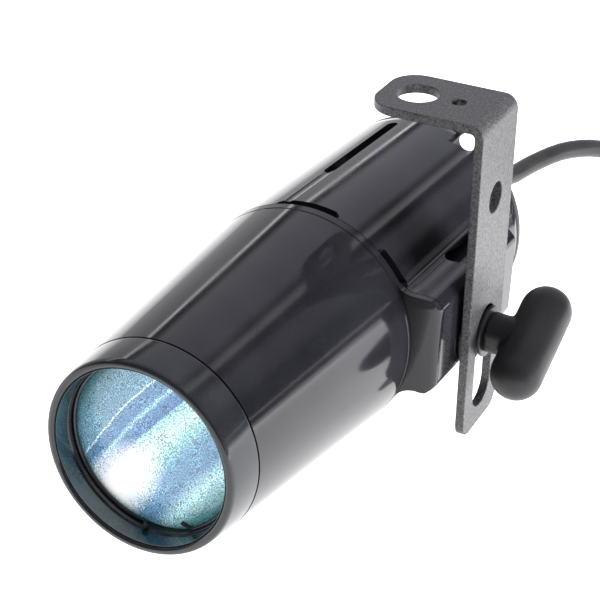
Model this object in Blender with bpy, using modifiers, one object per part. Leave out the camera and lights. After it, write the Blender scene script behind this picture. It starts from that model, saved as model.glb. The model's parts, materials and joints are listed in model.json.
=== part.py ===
"""A small LED par can (pinspot) with a slotted hanging bracket, modelled in metres with +Z up.

The origin is the centre of the large hanging hole, on the top face of the bracket. The lamp's beam
points along -Y, tilted up by REST_TILT. Lamp pieces are drawn in the lamp's own frame, whose Y axis
is the tube's axis with Y = 0 at the front rim, and are parented to an empty on the tilt axis.
"""

import math

import bmesh
import bpy
from mathutils import Euler, Matrix, Vector

MM = 0.001
GAP = 0.3 * MM                  # clearance between pieces that touch
SEGMENTS = 48                   # around the large turned pieces
FINE = 24                       # around the small turned pieces

# Bracket: an L of flat bar
BAR_T = 2.9 * MM
BAR_W = 27.7 * MM
LEG_FACE_X = 27.4 * MM          # outer face of the hanging leg
LEG_BOTTOM_Z = -110.8 * MM
TOP_END_X = -11.4 * MM
BEND_R = 4.5 * MM
TOP_CORNER_R = 9.0 * MM
FOOT_CORNER_R = 5.5 * MM
HANG_HOLE_R = 6.55 * MM
PILOT_HOLE_R = 2.3 * MM
PILOT_HOLE_X = 13.45 * MM
LEG_HOLE_R = 5.0 * MM
LEG_HOLE_Z = -28.5 * MM
SLOT_R = 7.0 * MM               # half the slot's width
SLOT_LOW_Z = -97.3 * MM         # centres of the slot's round ends
SLOT_HIGH_Z = -74.1 * MM

# Pivot, where the knob's stud crosses the slot
PIVOT_Z = -76.1 * MM
REST_TILT = math.radians(3.85)
LAMP_X = -24.45 * MM            # the tube's axis, in the bracket's frame
AXIS_OVER_PIVOT = 1.9 * MM
PIVOT_Y = 124.5 * MM            # distance from the front rim to the pivot

# Tube
RIM_R = 30.0 * MM
SEAM_1_Y = 12.6 * MM
SEAM_1_R = 31.2 * MM
SEAM_2_Y = 98.1 * MM
BODY_R = 38.5 * MM
REAR_Y = 187.0 * MM
WALL = 2.4 * MM
MOUTH_R = 27.2 * MM             # inside of the front ring
SEAT_R = 24.6 * MM              # clear opening behind the lens
LENS_R = 26.8 * MM
LENS_Y = 9.6 * MM
LENS_T = 3.6 * MM

# Ear that carries the pivot, in the lamp's frame
EAR_TOP_Z = 19.0 * MM
EAR_LOW_Z = -13.5 * MM
EAR_FACE_X = 47.4 * MM
EAR_CHAMFER = 3.0 * MM
EAR_FRONT_Y = 95.6 * MM
EAR_BACK_Y = 158.0 * MM
EAR_FRONT_R = 2.0 * MM
FILLET_R = 8.5 * MM

# Vents of the rear shell: centre angle from +X towards +Z, and where the slot starts
VENT_W = 4.0 * MM
VENT_END_Y = 180.0 * MM
VENTS = ((26.5, 125.0 * MM), (103.0, 128.0 * MM), (151.0, 123.0 * MM), (257.0, 128.0 * MM))
SEAM_NOTCHES = ((91.0, 32.0), (40.5, 21.0), (145.0, 26.0), (225.0, 30.0))
NOTCH_DEPTH = 3.0 * MM
CABLE_NOTCH_ANGLE = 64.5
CABLE_NOTCH_W = 9.0 * MM
CABLE_NOTCH_Y = 178.5 * MM
CABLE_HOLE_R = 3.4 * MM
CABLE_HOLE_AT_R = 35.9 * MM

# Knob, stud and washers, along +X from the ear
STUD_R = 4.0 * MM
HUB_R = 6.75 * MM
BAR_R = 8.4 * MM                # the T-bar's radius
BAR_HALF = 12.7 * MM            # from the knob's axis to the centre of a round end
BAR_LEAN = math.radians(66.3)   # from +Z towards +Y
BAR_X = 43.0 * MM               # the T-bar's axis, in the bracket's frame
WASHER_R = 8.4 * MM
WASHER_T = 1.2 * MM

# Cord, in the bracket's frame
CORD_R = 3.5 * MM
FLOOR_Z = -117.2 * MM           # the surface that the cord's coil lies on
GLAND_X = 10.4 * MM             # in the lamp's frame
GLAND_Z = 1.0 * MM
RELIEF_END_Y = 226.0 * MM       # in the lamp's frame
COIL_X = 56.0 * MM
COIL_Y = 225.0 * MM
COIL_R = 38.5 * MM              # middle of the turns
COIL_LAYERS = 2
CORD_ROUTE = (                  # from the strain relief to the coil
    (-14.05, 101.85, -80.05), (-14.0, 107.0, -80.5), (-12.8, 113.5, -81.6), (-10.2, 121.0, -82.6),
    (-7.4, 131.0, -82.2), (-0.9, 147.0, -81.8), (7.1, 160.0, -83.7), (12.3, 174.0, -90.2),
    (13.5, 187.0, -99.0), (12.6, 198.0, -105.8), (9.2, 208.0, -111.0), (7.1, 216.0, -113.4),
    (6.3, 222.0, -113.7),
)
TAIL_ROUTE = (                  # from the coil's last turn to the plug, from the coil's centre
    (-42.0, 0.0, 18.0), (-40.25, 9.92, 18.15), (-35.22, 18.64, 18.3), (-27.5, 25.11, 18.3),
    (-18.04, 28.56, 18.3), (-7.96, 28.56, 18.3), (1.5, 25.11, 18.3), (7.51, 20.51, 18.3),
    (9.63, 18.39, 18.3),
)
PLUG_START = (10.6, 17.4, 21.3)  # where the tail enters the plug, from the coil's centre
PLUG_TURN = math.radians(-45.0)

COLOURS = {                     # name: (red, green, blue, roughness, metallic)
    "gloss_black": (0.012, 0.013, 0.016, 0.12, 0.0),
    "satin_black": (0.02, 0.02, 0.022, 0.42, 0.0),
    "powder_black": (0.035, 0.035, 0.038, 0.55, 0.2),
    "rubber_black": (0.022, 0.022, 0.023, 0.6, 0.0),
    "cord_grey": (0.06, 0.06, 0.065, 0.5, 0.0),
    "lens_glass": (0.62, 0.86, 0.92, 0.15, 0.0),
    "clear_plastic": (0.85, 0.88, 0.9, 0.1, 0.0),
    "steel": (0.55, 0.56, 0.58, 0.3, 1.0),
    "brass": (0.72, 0.55, 0.25, 0.3, 1.0),
    "aluminium": (0.7, 0.71, 0.73, 0.35, 1.0),
    "board_green": (0.04, 0.2, 0.09, 0.5, 0.0),
    "board_white": (0.85, 0.85, 0.83, 0.4, 0.0),
    "led_yellow": (0.9, 0.8, 0.2, 0.3, 0.0),
    "copper": (0.7, 0.35, 0.18, 0.4, 1.0),
    "nylon_white": (0.8, 0.8, 0.76, 0.5, 0.0),
    "can_blue": (0.05, 0.09, 0.25, 0.35, 0.1),
}


def make_collection(name):
    collection = bpy.data.collections.new(name)
    bpy.context.scene.collection.children.link(collection)
    return collection


def material(name):
    found = bpy.data.materials.get(name)
    if found:
        return found
    red, green, blue, roughness, metallic = COLOURS[name]
    made = bpy.data.materials.new(name)
    made.use_nodes = True
    shader = made.node_tree.nodes["Principled BSDF"]
    shader.inputs["Base Color"].default_value = (red, green, blue, 1.0)
    shader.inputs["Roughness"].default_value = roughness
    shader.inputs["Metallic"].default_value = metallic
    return made


def finish_piece(obj, finish, parent=None):
    """Shade, colour and parent a finished piece that was drawn in its parent's frame."""
    obj.data.materials.clear()
    obj.data.materials.append(material(finish))
    obj.data.shade_smooth()
    obj.data.set_sharp_from_angle(angle=math.radians(35))
    obj.parent = parent
    return obj


def add_object(name, mesh, collection):
    obj = bpy.data.objects.new(name, mesh)
    collection.objects.link(obj)
    return obj


def bake(obj):
    """Replace an object's mesh by its evaluated one, so that it can be cut."""
    bpy.context.view_layer.update()
    graph = bpy.context.evaluated_depsgraph_get()
    mesh = bpy.data.meshes.new_from_object(obj.evaluated_get(graph))
    obj.modifiers.clear()
    obj.data = mesh
    return obj


def boolean(obj, other, operation):
    """Cut or join in place, and take away the other object."""
    step = obj.modifiers.new(operation.lower(), "BOOLEAN")
    step.operation = operation
    step.solver = "EXACT"
    step.object = other
    bake(obj)
    bpy.data.objects.remove(other)
    shape = bmesh.new()
    shape.from_mesh(obj.data)
    bmesh.ops.remove_doubles(shape, verts=shape.verts, dist=0.00001)
    bmesh.ops.dissolve_degenerate(shape, edges=shape.edges, dist=0.00001)
    shape.to_mesh(obj.data)
    shape.free()
    return obj


def bevel_edges(obj, width, segments=2, angle=40.0):
    step = obj.modifiers.new("rounded_edges", "BEVEL")
    step.width = width
    step.segments = segments
    step.limit_method = "ANGLE"
    step.angle_limit = math.radians(angle)
    return bake(obj)


def axis_frame(axis, at):
    """A matrix that takes local Z to the named axis and the origin to a point."""
    turn = {"X": Matrix.Rotation(math.pi / 2, 4, "Y"), "Y": Matrix.Rotation(-math.pi / 2, 4, "X"),
            "Z": Matrix.Identity(4)}[axis]
    return Matrix.Translation(at) @ turn


def turned(name, profile, axis="Y", at=(0, 0, 0), steps=SEGMENTS, collection=None):
    """A turned piece. The profile is a closed loop of (along, radius), a bore when radius > 0."""
    mesh = bpy.data.meshes.new(name)
    shape = bmesh.new()
    rows = []
    for along, radius in profile:
        if radius < 1e-7:
            rows.append([shape.verts.new((0, 0, along))])
            continue
        turns = (2 * math.pi * i / steps for i in range(steps))
        rows.append([shape.verts.new((radius * math.cos(t), radius * math.sin(t), along)) for t in turns])
    pairs = list(zip(rows, rows[1:]))
    if len(rows[0]) > 1:
        pairs.append((rows[-1], rows[0]))
    for low, high in pairs:
        for i in range(steps):
            k = (i + 1) % steps
            if len(low) == 1 and len(high) == 1:
                continue
            if len(low) == 1:
                shape.faces.new((low[0], high[i], high[k]))
            elif len(high) == 1:
                shape.faces.new((low[i], low[k], high[0]))
            else:
                shape.faces.new((low[i], low[k], high[k], high[i]))
    bmesh.ops.recalc_face_normals(shape, faces=shape.faces)
    shape.to_mesh(mesh)
    shape.free()
    mesh.transform(axis_frame(axis, at))
    return add_object(name, mesh, collection or PARTS)


def cylinder(name, radius, low, high, axis="Y", at=(0, 0, 0), steps=FINE, collection=None):
    """A plain cylinder from low to high along an axis through a point."""
    mesh = bpy.data.meshes.new(name)
    shape = bmesh.new()
    bmesh.ops.create_cone(shape, cap_ends=True, segments=steps, radius1=radius, radius2=radius,
                          depth=high - low)
    shape.to_mesh(mesh)
    shape.free()
    mesh.transform(axis_frame(axis, at) @ Matrix.Translation((0, 0, (low + high) / 2)))
    return add_object(name, mesh, collection or PARTS)


def box(name, low, high, collection=None):
    """A block between two corners."""
    mesh = bpy.data.meshes.new(name)
    shape = bmesh.new()
    bmesh.ops.create_cube(shape, size=1.0)
    size = Vector(high) - Vector(low)
    centre = (Vector(high) + Vector(low)) / 2
    shape.transform(Matrix.Translation(centre) @ Matrix.Diagonal((*size, 1.0)))
    shape.to_mesh(mesh)
    shape.free()
    return add_object(name, mesh, collection or PARTS)


def extruded(name, outline, low, high, axis="Z", collection=None):
    """A prism: a flat outline of (u, v) points, swept from low to high along an axis."""
    curve = bpy.data.curves.new(name, "CURVE")
    curve.dimensions = "2D"
    curve.fill_mode = "BOTH"
    curve.extrude = (high - low) / 2
    spline = curve.splines.new("POLY")
    spline.points.add(len(outline) - 1)
    for point, (u, v) in zip(spline.points, outline):
        point.co = (u, v, 0, 1)
    spline.use_cyclic_u = True
    mesh = mesh_of_curve(name, curve)
    along = {"Z": Matrix.Identity(4),
             "Y": Matrix(((1, 0, 0, 0), (0, 0, 1, 0), (0, 1, 0, 0), (0, 0, 0, 1))),
             "X": Matrix(((0, 0, 1, 0), (1, 0, 0, 0), (0, 1, 0, 0), (0, 0, 0, 1)))}[axis]
    mesh.transform(along @ Matrix.Translation((0, 0, (low + high) / 2)))
    if along.determinant() < 0:
        mesh.flip_normals()
    return add_object(name, mesh, collection or PARTS)


def arc(centre, radius, start, end, count=6):
    """Points along an arc, with the angles in degrees."""
    angles = (math.radians(start + (end - start) * i / count) for i in range(count + 1))
    return [(centre[0] + radius * math.cos(a), centre[1] + radius * math.sin(a)) for a in angles]


def swept(name, points, radius, sides, collection=None):
    """A round bar with closed ends along a line of points. Sides is the curve's bevel resolution."""
    curve = bpy.data.curves.new(name, "CURVE")
    curve.dimensions = "3D"
    curve.bevel_depth = radius
    curve.bevel_resolution = sides
    curve.use_fill_caps = True
    spline = curve.splines.new("POLY")
    spline.points.add(len(points) - 1)
    for point, co in zip(spline.points, points):
        point.co = (*co, 1)
    return add_object(name, mesh_of_curve(name, curve), collection or PARTS)


def mesh_of_curve(name, curve):
    """A curve's mesh, with the doubled points of its caps joined."""
    drawn = bpy.data.objects.new(name, curve)
    PARTS.objects.link(drawn)
    bpy.context.view_layer.update()
    graph = bpy.context.evaluated_depsgraph_get()
    mesh = bpy.data.meshes.new_from_object(drawn.evaluated_get(graph))
    bpy.data.objects.remove(drawn)
    bpy.data.curves.remove(curve)
    shape = bmesh.new()
    shape.from_mesh(mesh)
    bmesh.ops.remove_doubles(shape, verts=shape.verts, dist=0.00002)
    bmesh.ops.recalc_face_normals(shape, faces=shape.faces)
    shape.to_mesh(mesh)
    shape.free()
    return mesh


def tube_through(name, points, radius):
    """A round tube along a smooth curve through a few route points."""
    ends = [points[0] * 2 - points[1], *points, points[-1] * 2 - points[-2]]
    fine = []
    for p0, p1, p2, p3 in zip(ends, ends[1:], ends[2:], ends[3:]):
        count = max(1, round((p2 - p1).length / (5 * radius)))
        for i in range(count):
            fine.append(spline_point(p0, p1, p2, p3, i / count))
    fine.append(points[-1])
    return swept(name, fine, radius, 2)


def spline_point(p0, p1, p2, p3, t):
    """A point of the Catmull-Rom curve between p1 and p2."""
    return 0.5 * (2 * p1 + (p2 - p0) * t + (2 * p0 - 5 * p1 + 4 * p2 - p3) * t * t
                  + (3 * p1 - p0 - 3 * p2 + p3) * t ** 3)


def radial_box(name, angle, radius_in, radius_out, width, y_low, y_high):
    """A cutter block that points out of the tube's axis at an angle, in the lamp's frame."""
    cutter = box(name, (radius_in, y_low, -width / 2), (radius_out, y_high, width / 2), CUTTERS)
    cutter.data.transform(Matrix.Rotation(-math.radians(angle), 4, "Y"))
    return cutter


# Bracket

def make_bracket():
    outline = [(TOP_END_X, 0.0)]
    outline += arc((LEG_FACE_X - BEND_R, -BEND_R), BEND_R, 90, 0)
    outline += [(LEG_FACE_X, LEG_BOTTOM_Z), (LEG_FACE_X - BAR_T, LEG_BOTTOM_Z)]
    outline += arc((LEG_FACE_X - BEND_R, -BEND_R), BEND_R - BAR_T, 0, 90)
    outline += [(TOP_END_X, -BAR_T)]
    half = BAR_W / 2
    bracket = extruded("bracket", outline, -half, half, "Y")
    far = 60 * MM
    end = [(far, -half), (far, half)]
    end += arc((TOP_END_X + TOP_CORNER_R, half - TOP_CORNER_R), TOP_CORNER_R, 90, 180)
    end += arc((TOP_END_X + TOP_CORNER_R, TOP_CORNER_R - half), TOP_CORNER_R, 180, 270)
    boolean(bracket, extruded("top_outline", end, -2 * far, far, "Z"), "INTERSECT")
    foot = [(half, far), (-half, far)]
    foot += arc((FOOT_CORNER_R - half, LEG_BOTTOM_Z + FOOT_CORNER_R), FOOT_CORNER_R, 180, 270)
    foot += arc((half - FOOT_CORNER_R, LEG_BOTTOM_Z + FOOT_CORNER_R), FOOT_CORNER_R, 270, 360)
    boolean(bracket, extruded("leg_outline", foot, -far, far, "X"), "INTERSECT")
    slot = arc((0, SLOT_HIGH_Z), SLOT_R, 0, 180, 12) + arc((0, SLOT_LOW_Z), SLOT_R, 180, 360, 12)
    boolean(bracket, extruded("slot", slot, 0, far, "X"), "DIFFERENCE")
    holes = ((HANG_HOLE_R, "Z", (0, 0, 0), 32), (PILOT_HOLE_R, "Z", (PILOT_HOLE_X, 0, 0), 16),
             (LEG_HOLE_R, "X", (LEG_FACE_X, 0, LEG_HOLE_Z), 24))
    for radius, axis, at, steps in holes:
        hole = cylinder("hole", radius, -8 * MM, 8 * MM, axis, at, steps, CUTTERS)
        boolean(bracket, hole, "DIFFERENCE")
    finish_piece(bracket, "powder_black")


# Pivot: the bushing that slides in the slot, the washer and the knob

def make_pivot():
    at = (0, 0, PIVOT_Z)
    inner = LEG_FACE_X - BAR_T
    ear_x = LAMP_X + EAR_FACE_X
    sleeve_r = SLOT_R - GAP
    bore = STUD_R + GAP
    profile = [(ear_x + GAP, bore), (ear_x + GAP, 12.5 * MM), (inner - GAP, 12.5 * MM),
               (inner - GAP, sleeve_r), (LEG_FACE_X - GAP, sleeve_r), (LEG_FACE_X - GAP, bore)]
    bushing = turned("slot_bushing", profile, "X", at, FINE)
    finish_piece(bushing, "satin_black")
    start = LEG_FACE_X + GAP
    profile = [(start, bore), (start, WASHER_R), (start + WASHER_T, WASHER_R), (start + WASHER_T, bore)]
    finish_piece(turned("thrust_washer", profile, "X", at, FINE), "satin_black")


def make_knob():
    hub_x = LEG_FACE_X + GAP + WASHER_T + GAP
    at = Vector((0, 0, PIVOT_Z))
    grip = cylinder("knob_grip", HUB_R, hub_x, BAR_X, "X", at, FINE)
    mesh = bpy.data.meshes.new("bar")
    shape = bmesh.new()
    bmesh.ops.create_uvsphere(shape, u_segments=20, v_segments=12, radius=BAR_R)
    for vert in shape.verts:
        if vert.co.z > 1e-6:
            vert.co.z += BAR_HALF
        elif vert.co.z < -1e-6:
            vert.co.z -= BAR_HALF
    shape.to_mesh(mesh)
    shape.free()
    lean = Matrix.Rotation(-BAR_LEAN, 4, "X")
    mesh.transform(Matrix.Translation((BAR_X, 0, PIVOT_Z)) @ lean)
    boolean(grip, add_object("bar", mesh, PARTS), "UNION")
    stud_end = BAR_X - 2 * MM
    socket = cylinder("socket", STUD_R + GAP, hub_x - MM, stud_end + GAP, "X", at, FINE, CUTTERS)
    boolean(grip, socket, "DIFFERENCE")
    finish_piece(grip, "rubber_black")
    tip = LAMP_X + 33.5 * MM
    profile = [(tip, 0), (tip, STUD_R - MM), (tip + MM, STUD_R), (stud_end, STUD_R), (stud_end, 0)]
    finish_piece(turned("knob_stud", profile, "X", at, FINE), "steel")


# Lamp

def ear_outline(top, low, face, chamfer):
    """The ear's section in X and Z: fillets that leave the tube, a flat top and a chamfered face."""
    inside = 20 * MM

    def fillet(side_z, sign):
        rise = side_z + sign * FILLET_R
        centre_x = math.sqrt((BODY_R + FILLET_R) ** 2 - rise ** 2)
        touch = math.degrees(math.atan2(rise, centre_x)) + 180
        return centre_x, rise, touch

    up_x, up_z, up_touch = fillet(top, 1)
    down_x, down_z, down_touch = fillet(low, -1)
    points = [(inside, (top + low) / 2)]
    points += arc((up_x, up_z), FILLET_R, up_touch, 270, 5)
    points += [(face - chamfer, top), (face, top - chamfer), (face, low + chamfer), (face - chamfer, low)]
    points += arc((down_x, down_z), FILLET_R, 90, down_touch - 360 if down_touch > 270 else down_touch, 5)
    return points


def body_radius(y):
    """The front shell's outer radius, growing evenly towards the rear."""
    along = (y - SEAM_1_Y) / (SEAM_2_Y - SEAM_1_Y)
    return SEAM_1_R + (BODY_R - SEAM_1_R) * along


def rounded_ear(name, y_low, y_high, round_front):
    outline = ear_outline(EAR_TOP_Z, EAR_LOW_Z, EAR_FACE_X, EAR_CHAMFER)
    if not round_front:
        return extruded(name, outline, y_low, y_high, "Y")
    ear = extruded(name, outline, y_low - MM, y_high, "Y")
    far = 80 * MM
    plan = [(-far, y_high + far), (-far, y_low)]
    plan += arc((EAR_FACE_X - EAR_FRONT_R, y_low + EAR_FRONT_R), EAR_FRONT_R, 270, 355)
    plan += [(far, y_low + EAR_FRONT_R), (far, y_high + far)]
    return boolean(ear, extruded("ear_plan", plan, -far, far, "Z"), "INTERSECT")


def trim(obj, y_low, y_high):
    """Cut a piece off square outside two planes across the tube."""
    far = 90 * MM
    return boolean(obj, box("trim", (-far, y_low, -far), (far, y_high, far), CUTTERS), "INTERSECT")


def make_front_shell(lamp):
    start = SEAM_1_Y + GAP
    end = SEAM_2_Y - GAP
    steps = 6
    ys = [start + (end - start) * i / steps for i in range(steps + 1)]
    profile = [(y, body_radius(y)) for y in ys]
    shell = turned("front_shell", [(start, 0)] + profile + [(end + 3 * MM, BODY_R), (end + 3 * MM, 0)])
    boolean(shell, rounded_ear("ear", EAR_FRONT_Y, end + 2 * MM, True), "UNION")
    recess_y = end - 6 * MM
    recess_r = BODY_R - WALL + 0.9 * MM
    bore = [(start - MM, 0), (start - MM, body_radius(start - MM) - WALL),
            (recess_y, body_radius(recess_y) - WALL), (recess_y, recess_r), (end + 5 * MM, recess_r),
            (end + 5 * MM, 0)]
    boolean(shell, turned("bore", bore, collection=CUTTERS), "DIFFERENCE")
    trim(shell, 0, end)
    finish_piece(shell, "gloss_black", lamp)


def make_rear_shell(lamp):
    lip = 5 * MM
    lip_r = BODY_R - WALL + 0.6 * MM
    start = SEAM_2_Y
    profile = [(start - 3 * MM, 0), (start - 3 * MM, BODY_R), (REAR_Y - 1.5 * MM, BODY_R),
               (REAR_Y, BODY_R - 0.6 * MM), (REAR_Y, 0)]
    shell = turned("rear_shell", profile)
    boolean(shell, rounded_ear("ear", start - 2 * MM, EAR_BACK_Y, False), "UNION")
    trim(shell, start, 2 * REAR_Y)
    collar_profile = [(start - lip, 0), (start - lip, lip_r), (start + MM, lip_r), (start + MM, 0)]
    collar = turned("collar", collar_profile)
    boolean(shell, collar, "UNION")
    inner = BODY_R - WALL
    bore = [(start - lip - MM, 0), (start - lip - MM, inner - 0.9 * MM), (start + 2 * MM, inner - 0.9 * MM),
            (start + 2 * MM, inner), (REAR_Y + MM, inner), (REAR_Y + MM, 0)]
    boolean(shell, turned("bore", bore, collection=CUTTERS), "DIFFERENCE")
    pivot = (0, PIVOT_Y, -AXIS_OVER_PIVOT)
    pocket = cylinder("pocket", 6.3 * MM, 32.0 * MM, 60 * MM, "X", pivot, FINE, CUTTERS)
    boolean(shell, pocket, "DIFFERENCE")
    for angle, y in VENTS:
        cut = radial_box("vent", angle, BODY_R - 6 * MM, BODY_R + 9 * MM, VENT_W, y, VENT_END_Y)
        boolean(shell, cut, "DIFFERENCE")
    for angle, width in SEAM_NOTCHES:
        cut = notch_wedge("notch", angle, width, lip_r + 0.05 * MM, start - MM, start + NOTCH_DEPTH)
        boolean(shell, cut, "DIFFERENCE")
    cut = radial_box("cable_notch", CABLE_NOTCH_ANGLE, BODY_R - 7 * MM, BODY_R + 4 * MM, CABLE_NOTCH_W,
                     CABLE_NOTCH_Y, REAR_Y + 2 * MM)
    boolean(shell, cut, "DIFFERENCE")
    finish_piece(shell, "gloss_black", lamp)


def notch_wedge(name, angle, width, radius_in, y_low, y_high):
    """A cutter shaped as a piece of a ring, width degrees wide."""
    far = BODY_R + 5 * MM
    outline = arc((0, 0), radius_in, angle - width / 2, angle + width / 2, 8)
    outline += arc((0, 0), far, angle + width / 2, angle - width / 2, 8)
    return extruded(name, outline, y_low, y_high, "Y", CUTTERS)


def make_front_ring(lamp):
    lens_back = LENS_Y + LENS_T
    gasket_back = lens_back + 1.6 * MM
    profile = [(0.6 * MM, MOUTH_R), (0, RIM_R - 1.4 * MM), (0.5 * MM, RIM_R - 0.4 * MM),
               (1.4 * MM, RIM_R), (SEAM_1_Y, SEAM_1_R), (SEAM_1_Y, SEAM_1_R - WALL - GAP),
               (21 * MM, SEAM_1_R - WALL - GAP), (21 * MM, SEAT_R), (gasket_back + GAP, SEAT_R),
               (gasket_back + GAP, MOUTH_R)]
    finish_piece(turned("front_ring", profile), "satin_black", lamp)
    dome = 1.2 * MM
    profile = [(LENS_Y - dome, 0), (LENS_Y - 0.75 * dome, 0.5 * LENS_R), (LENS_Y, 0.97 * LENS_R),
               (LENS_Y + 0.5 * MM, LENS_R), (lens_back - 0.5 * MM, LENS_R), (lens_back, 0.98 * LENS_R),
               (lens_back, 0)]
    finish_piece(turned("lens", profile), "lens_glass", lamp)
    start = lens_back + GAP
    profile = [(start, SEAT_R), (start, MOUTH_R - GAP), (gasket_back, MOUTH_R - GAP), (gasket_back, SEAT_R)]
    finish_piece(turned("lens_gasket", profile), "rubber_black", lamp)


def make_snap_ring(lamp):
    """The open wire ring in front of the lens, with one end bent inwards as a finger hook."""
    wire = 0.6 * MM
    ring_r = MOUTH_R - wire - GAP
    y = LENS_Y - wire - 0.2 * MM
    opening = (267.0, 297.0)
    turns = [math.radians(opening[1] + (360 + opening[0] - opening[1]) * i / 44) for i in range(45)]
    points = [(ring_r * math.cos(t), y, ring_r * math.sin(t)) for t in turns]
    hook = math.radians(opening[1] - 4)
    hook_r = ring_r - 2.4 * MM
    points.insert(0, (hook_r * math.cos(hook), y - 0.4 * MM, hook_r * math.sin(hook)))
    points = [Vector(p) for p in points]
    finish_piece(swept("lens_snap_ring", points, wire, 1), "steel", lamp)


def make_light_engine(lamp):
    """Optic, emitter, star board and finned heat sink, on the tube's axis."""
    led_y = 64 * MM
    profile = [(led_y - 14 * MM, 0), (led_y - 14 * MM, 13 * MM), (led_y - 12 * MM, 13 * MM),
               (led_y - 0.4 * MM, 5.5 * MM), (led_y - 0.4 * MM, 3.2 * MM), (led_y - 5 * MM, 2.6 * MM),
               (led_y - 5 * MM, 0)]
    finish_piece(turned("collimator_optic", profile, steps=32), "clear_plastic", lamp)
    profile = [(led_y - 14.6 * MM, 11.5 * MM), (led_y - 14.6 * MM, 15 * MM), (led_y, 15 * MM),
               (led_y, 13.6 * MM), (led_y - 14.3 * MM, 13.6 * MM), (led_y - 14.3 * MM, 11.5 * MM)]
    finish_piece(turned("optic_holder", profile, steps=32), "satin_black", lamp)
    emitter = cylinder("led_emitter", 1.75 * MM, led_y - 2.2 * MM, led_y - GAP, steps=16)
    finish_piece(emitter, "led_yellow", lamp)
    outline = [(10.5 * MM * math.cos(math.radians(60 * i)), 10.5 * MM * math.sin(math.radians(60 * i)))
               for i in range(6)]
    board_y = led_y + 1.6 * MM
    star = extruded("led_board", outline, led_y + 0.3 * MM, board_y, "Y")
    finish_piece(star, "board_white", lamp)
    sink_y = board_y + GAP
    sink_r = 31.5 * MM
    sink = cylinder("heat_sink", sink_r, sink_y, sink_y + 26 * MM, steps=SEGMENTS)
    for i in range(12):
        cut = radial_box("gap", 30 * i + 15, 12 * MM, 40 * MM, 4.5 * MM, sink_y + 4 * MM, sink_y + 40 * MM)
        boolean(sink, cut, "DIFFERENCE")
    finish_piece(sink, "aluminium", lamp)


def make_driver(lamp):
    """The mains driver: a board across the rear shell with its large components."""
    low_z = -14 * MM
    board_top = low_z + 1.6 * MM
    board = box("driver_board", (-27 * MM, 104 * MM, low_z), (27 * MM, 176 * MM, board_top))
    finish_piece(board, "board_green", lamp)
    top = board_top + GAP
    core = box("transformer", (-20 * MM, 130 * MM, top), (4 * MM, 152 * MM, top + 20 * MM))
    finish_piece(bevel_edges(core, 1.2 * MM), "nylon_white", lamp)
    block = box("terminal_block", (-14 * MM, 161 * MM, top), (10 * MM, 171 * MM, top + 10 * MM))
    finish_piece(bevel_edges(block, 0.6 * MM), "nylon_white", lamp)
    cans = (("capacitor_1", 5 * MM, 14 * MM, 140 * MM, 18 * MM),
            ("capacitor_2", 4 * MM, 15 * MM, 154 * MM, 12 * MM),
            ("capacitor_3", 4 * MM, -14 * MM, 116 * MM, 13 * MM))
    for name, radius, x, y, height in cans:
        can = cylinder(name, radius, top, top + height, "Z", (x, y, 0), 20)
        finish_piece(bevel_edges(can, 0.5 * MM), "can_blue", lamp)
    coil = [(top, 3 * MM), (top, 7 * MM), (top + 8 * MM, 7 * MM), (top + 8 * MM, 3 * MM)]
    finish_piece(turned("choke", coil, "Z", (8 * MM, 118 * MM, 0), FINE), "copper", lamp)


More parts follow.
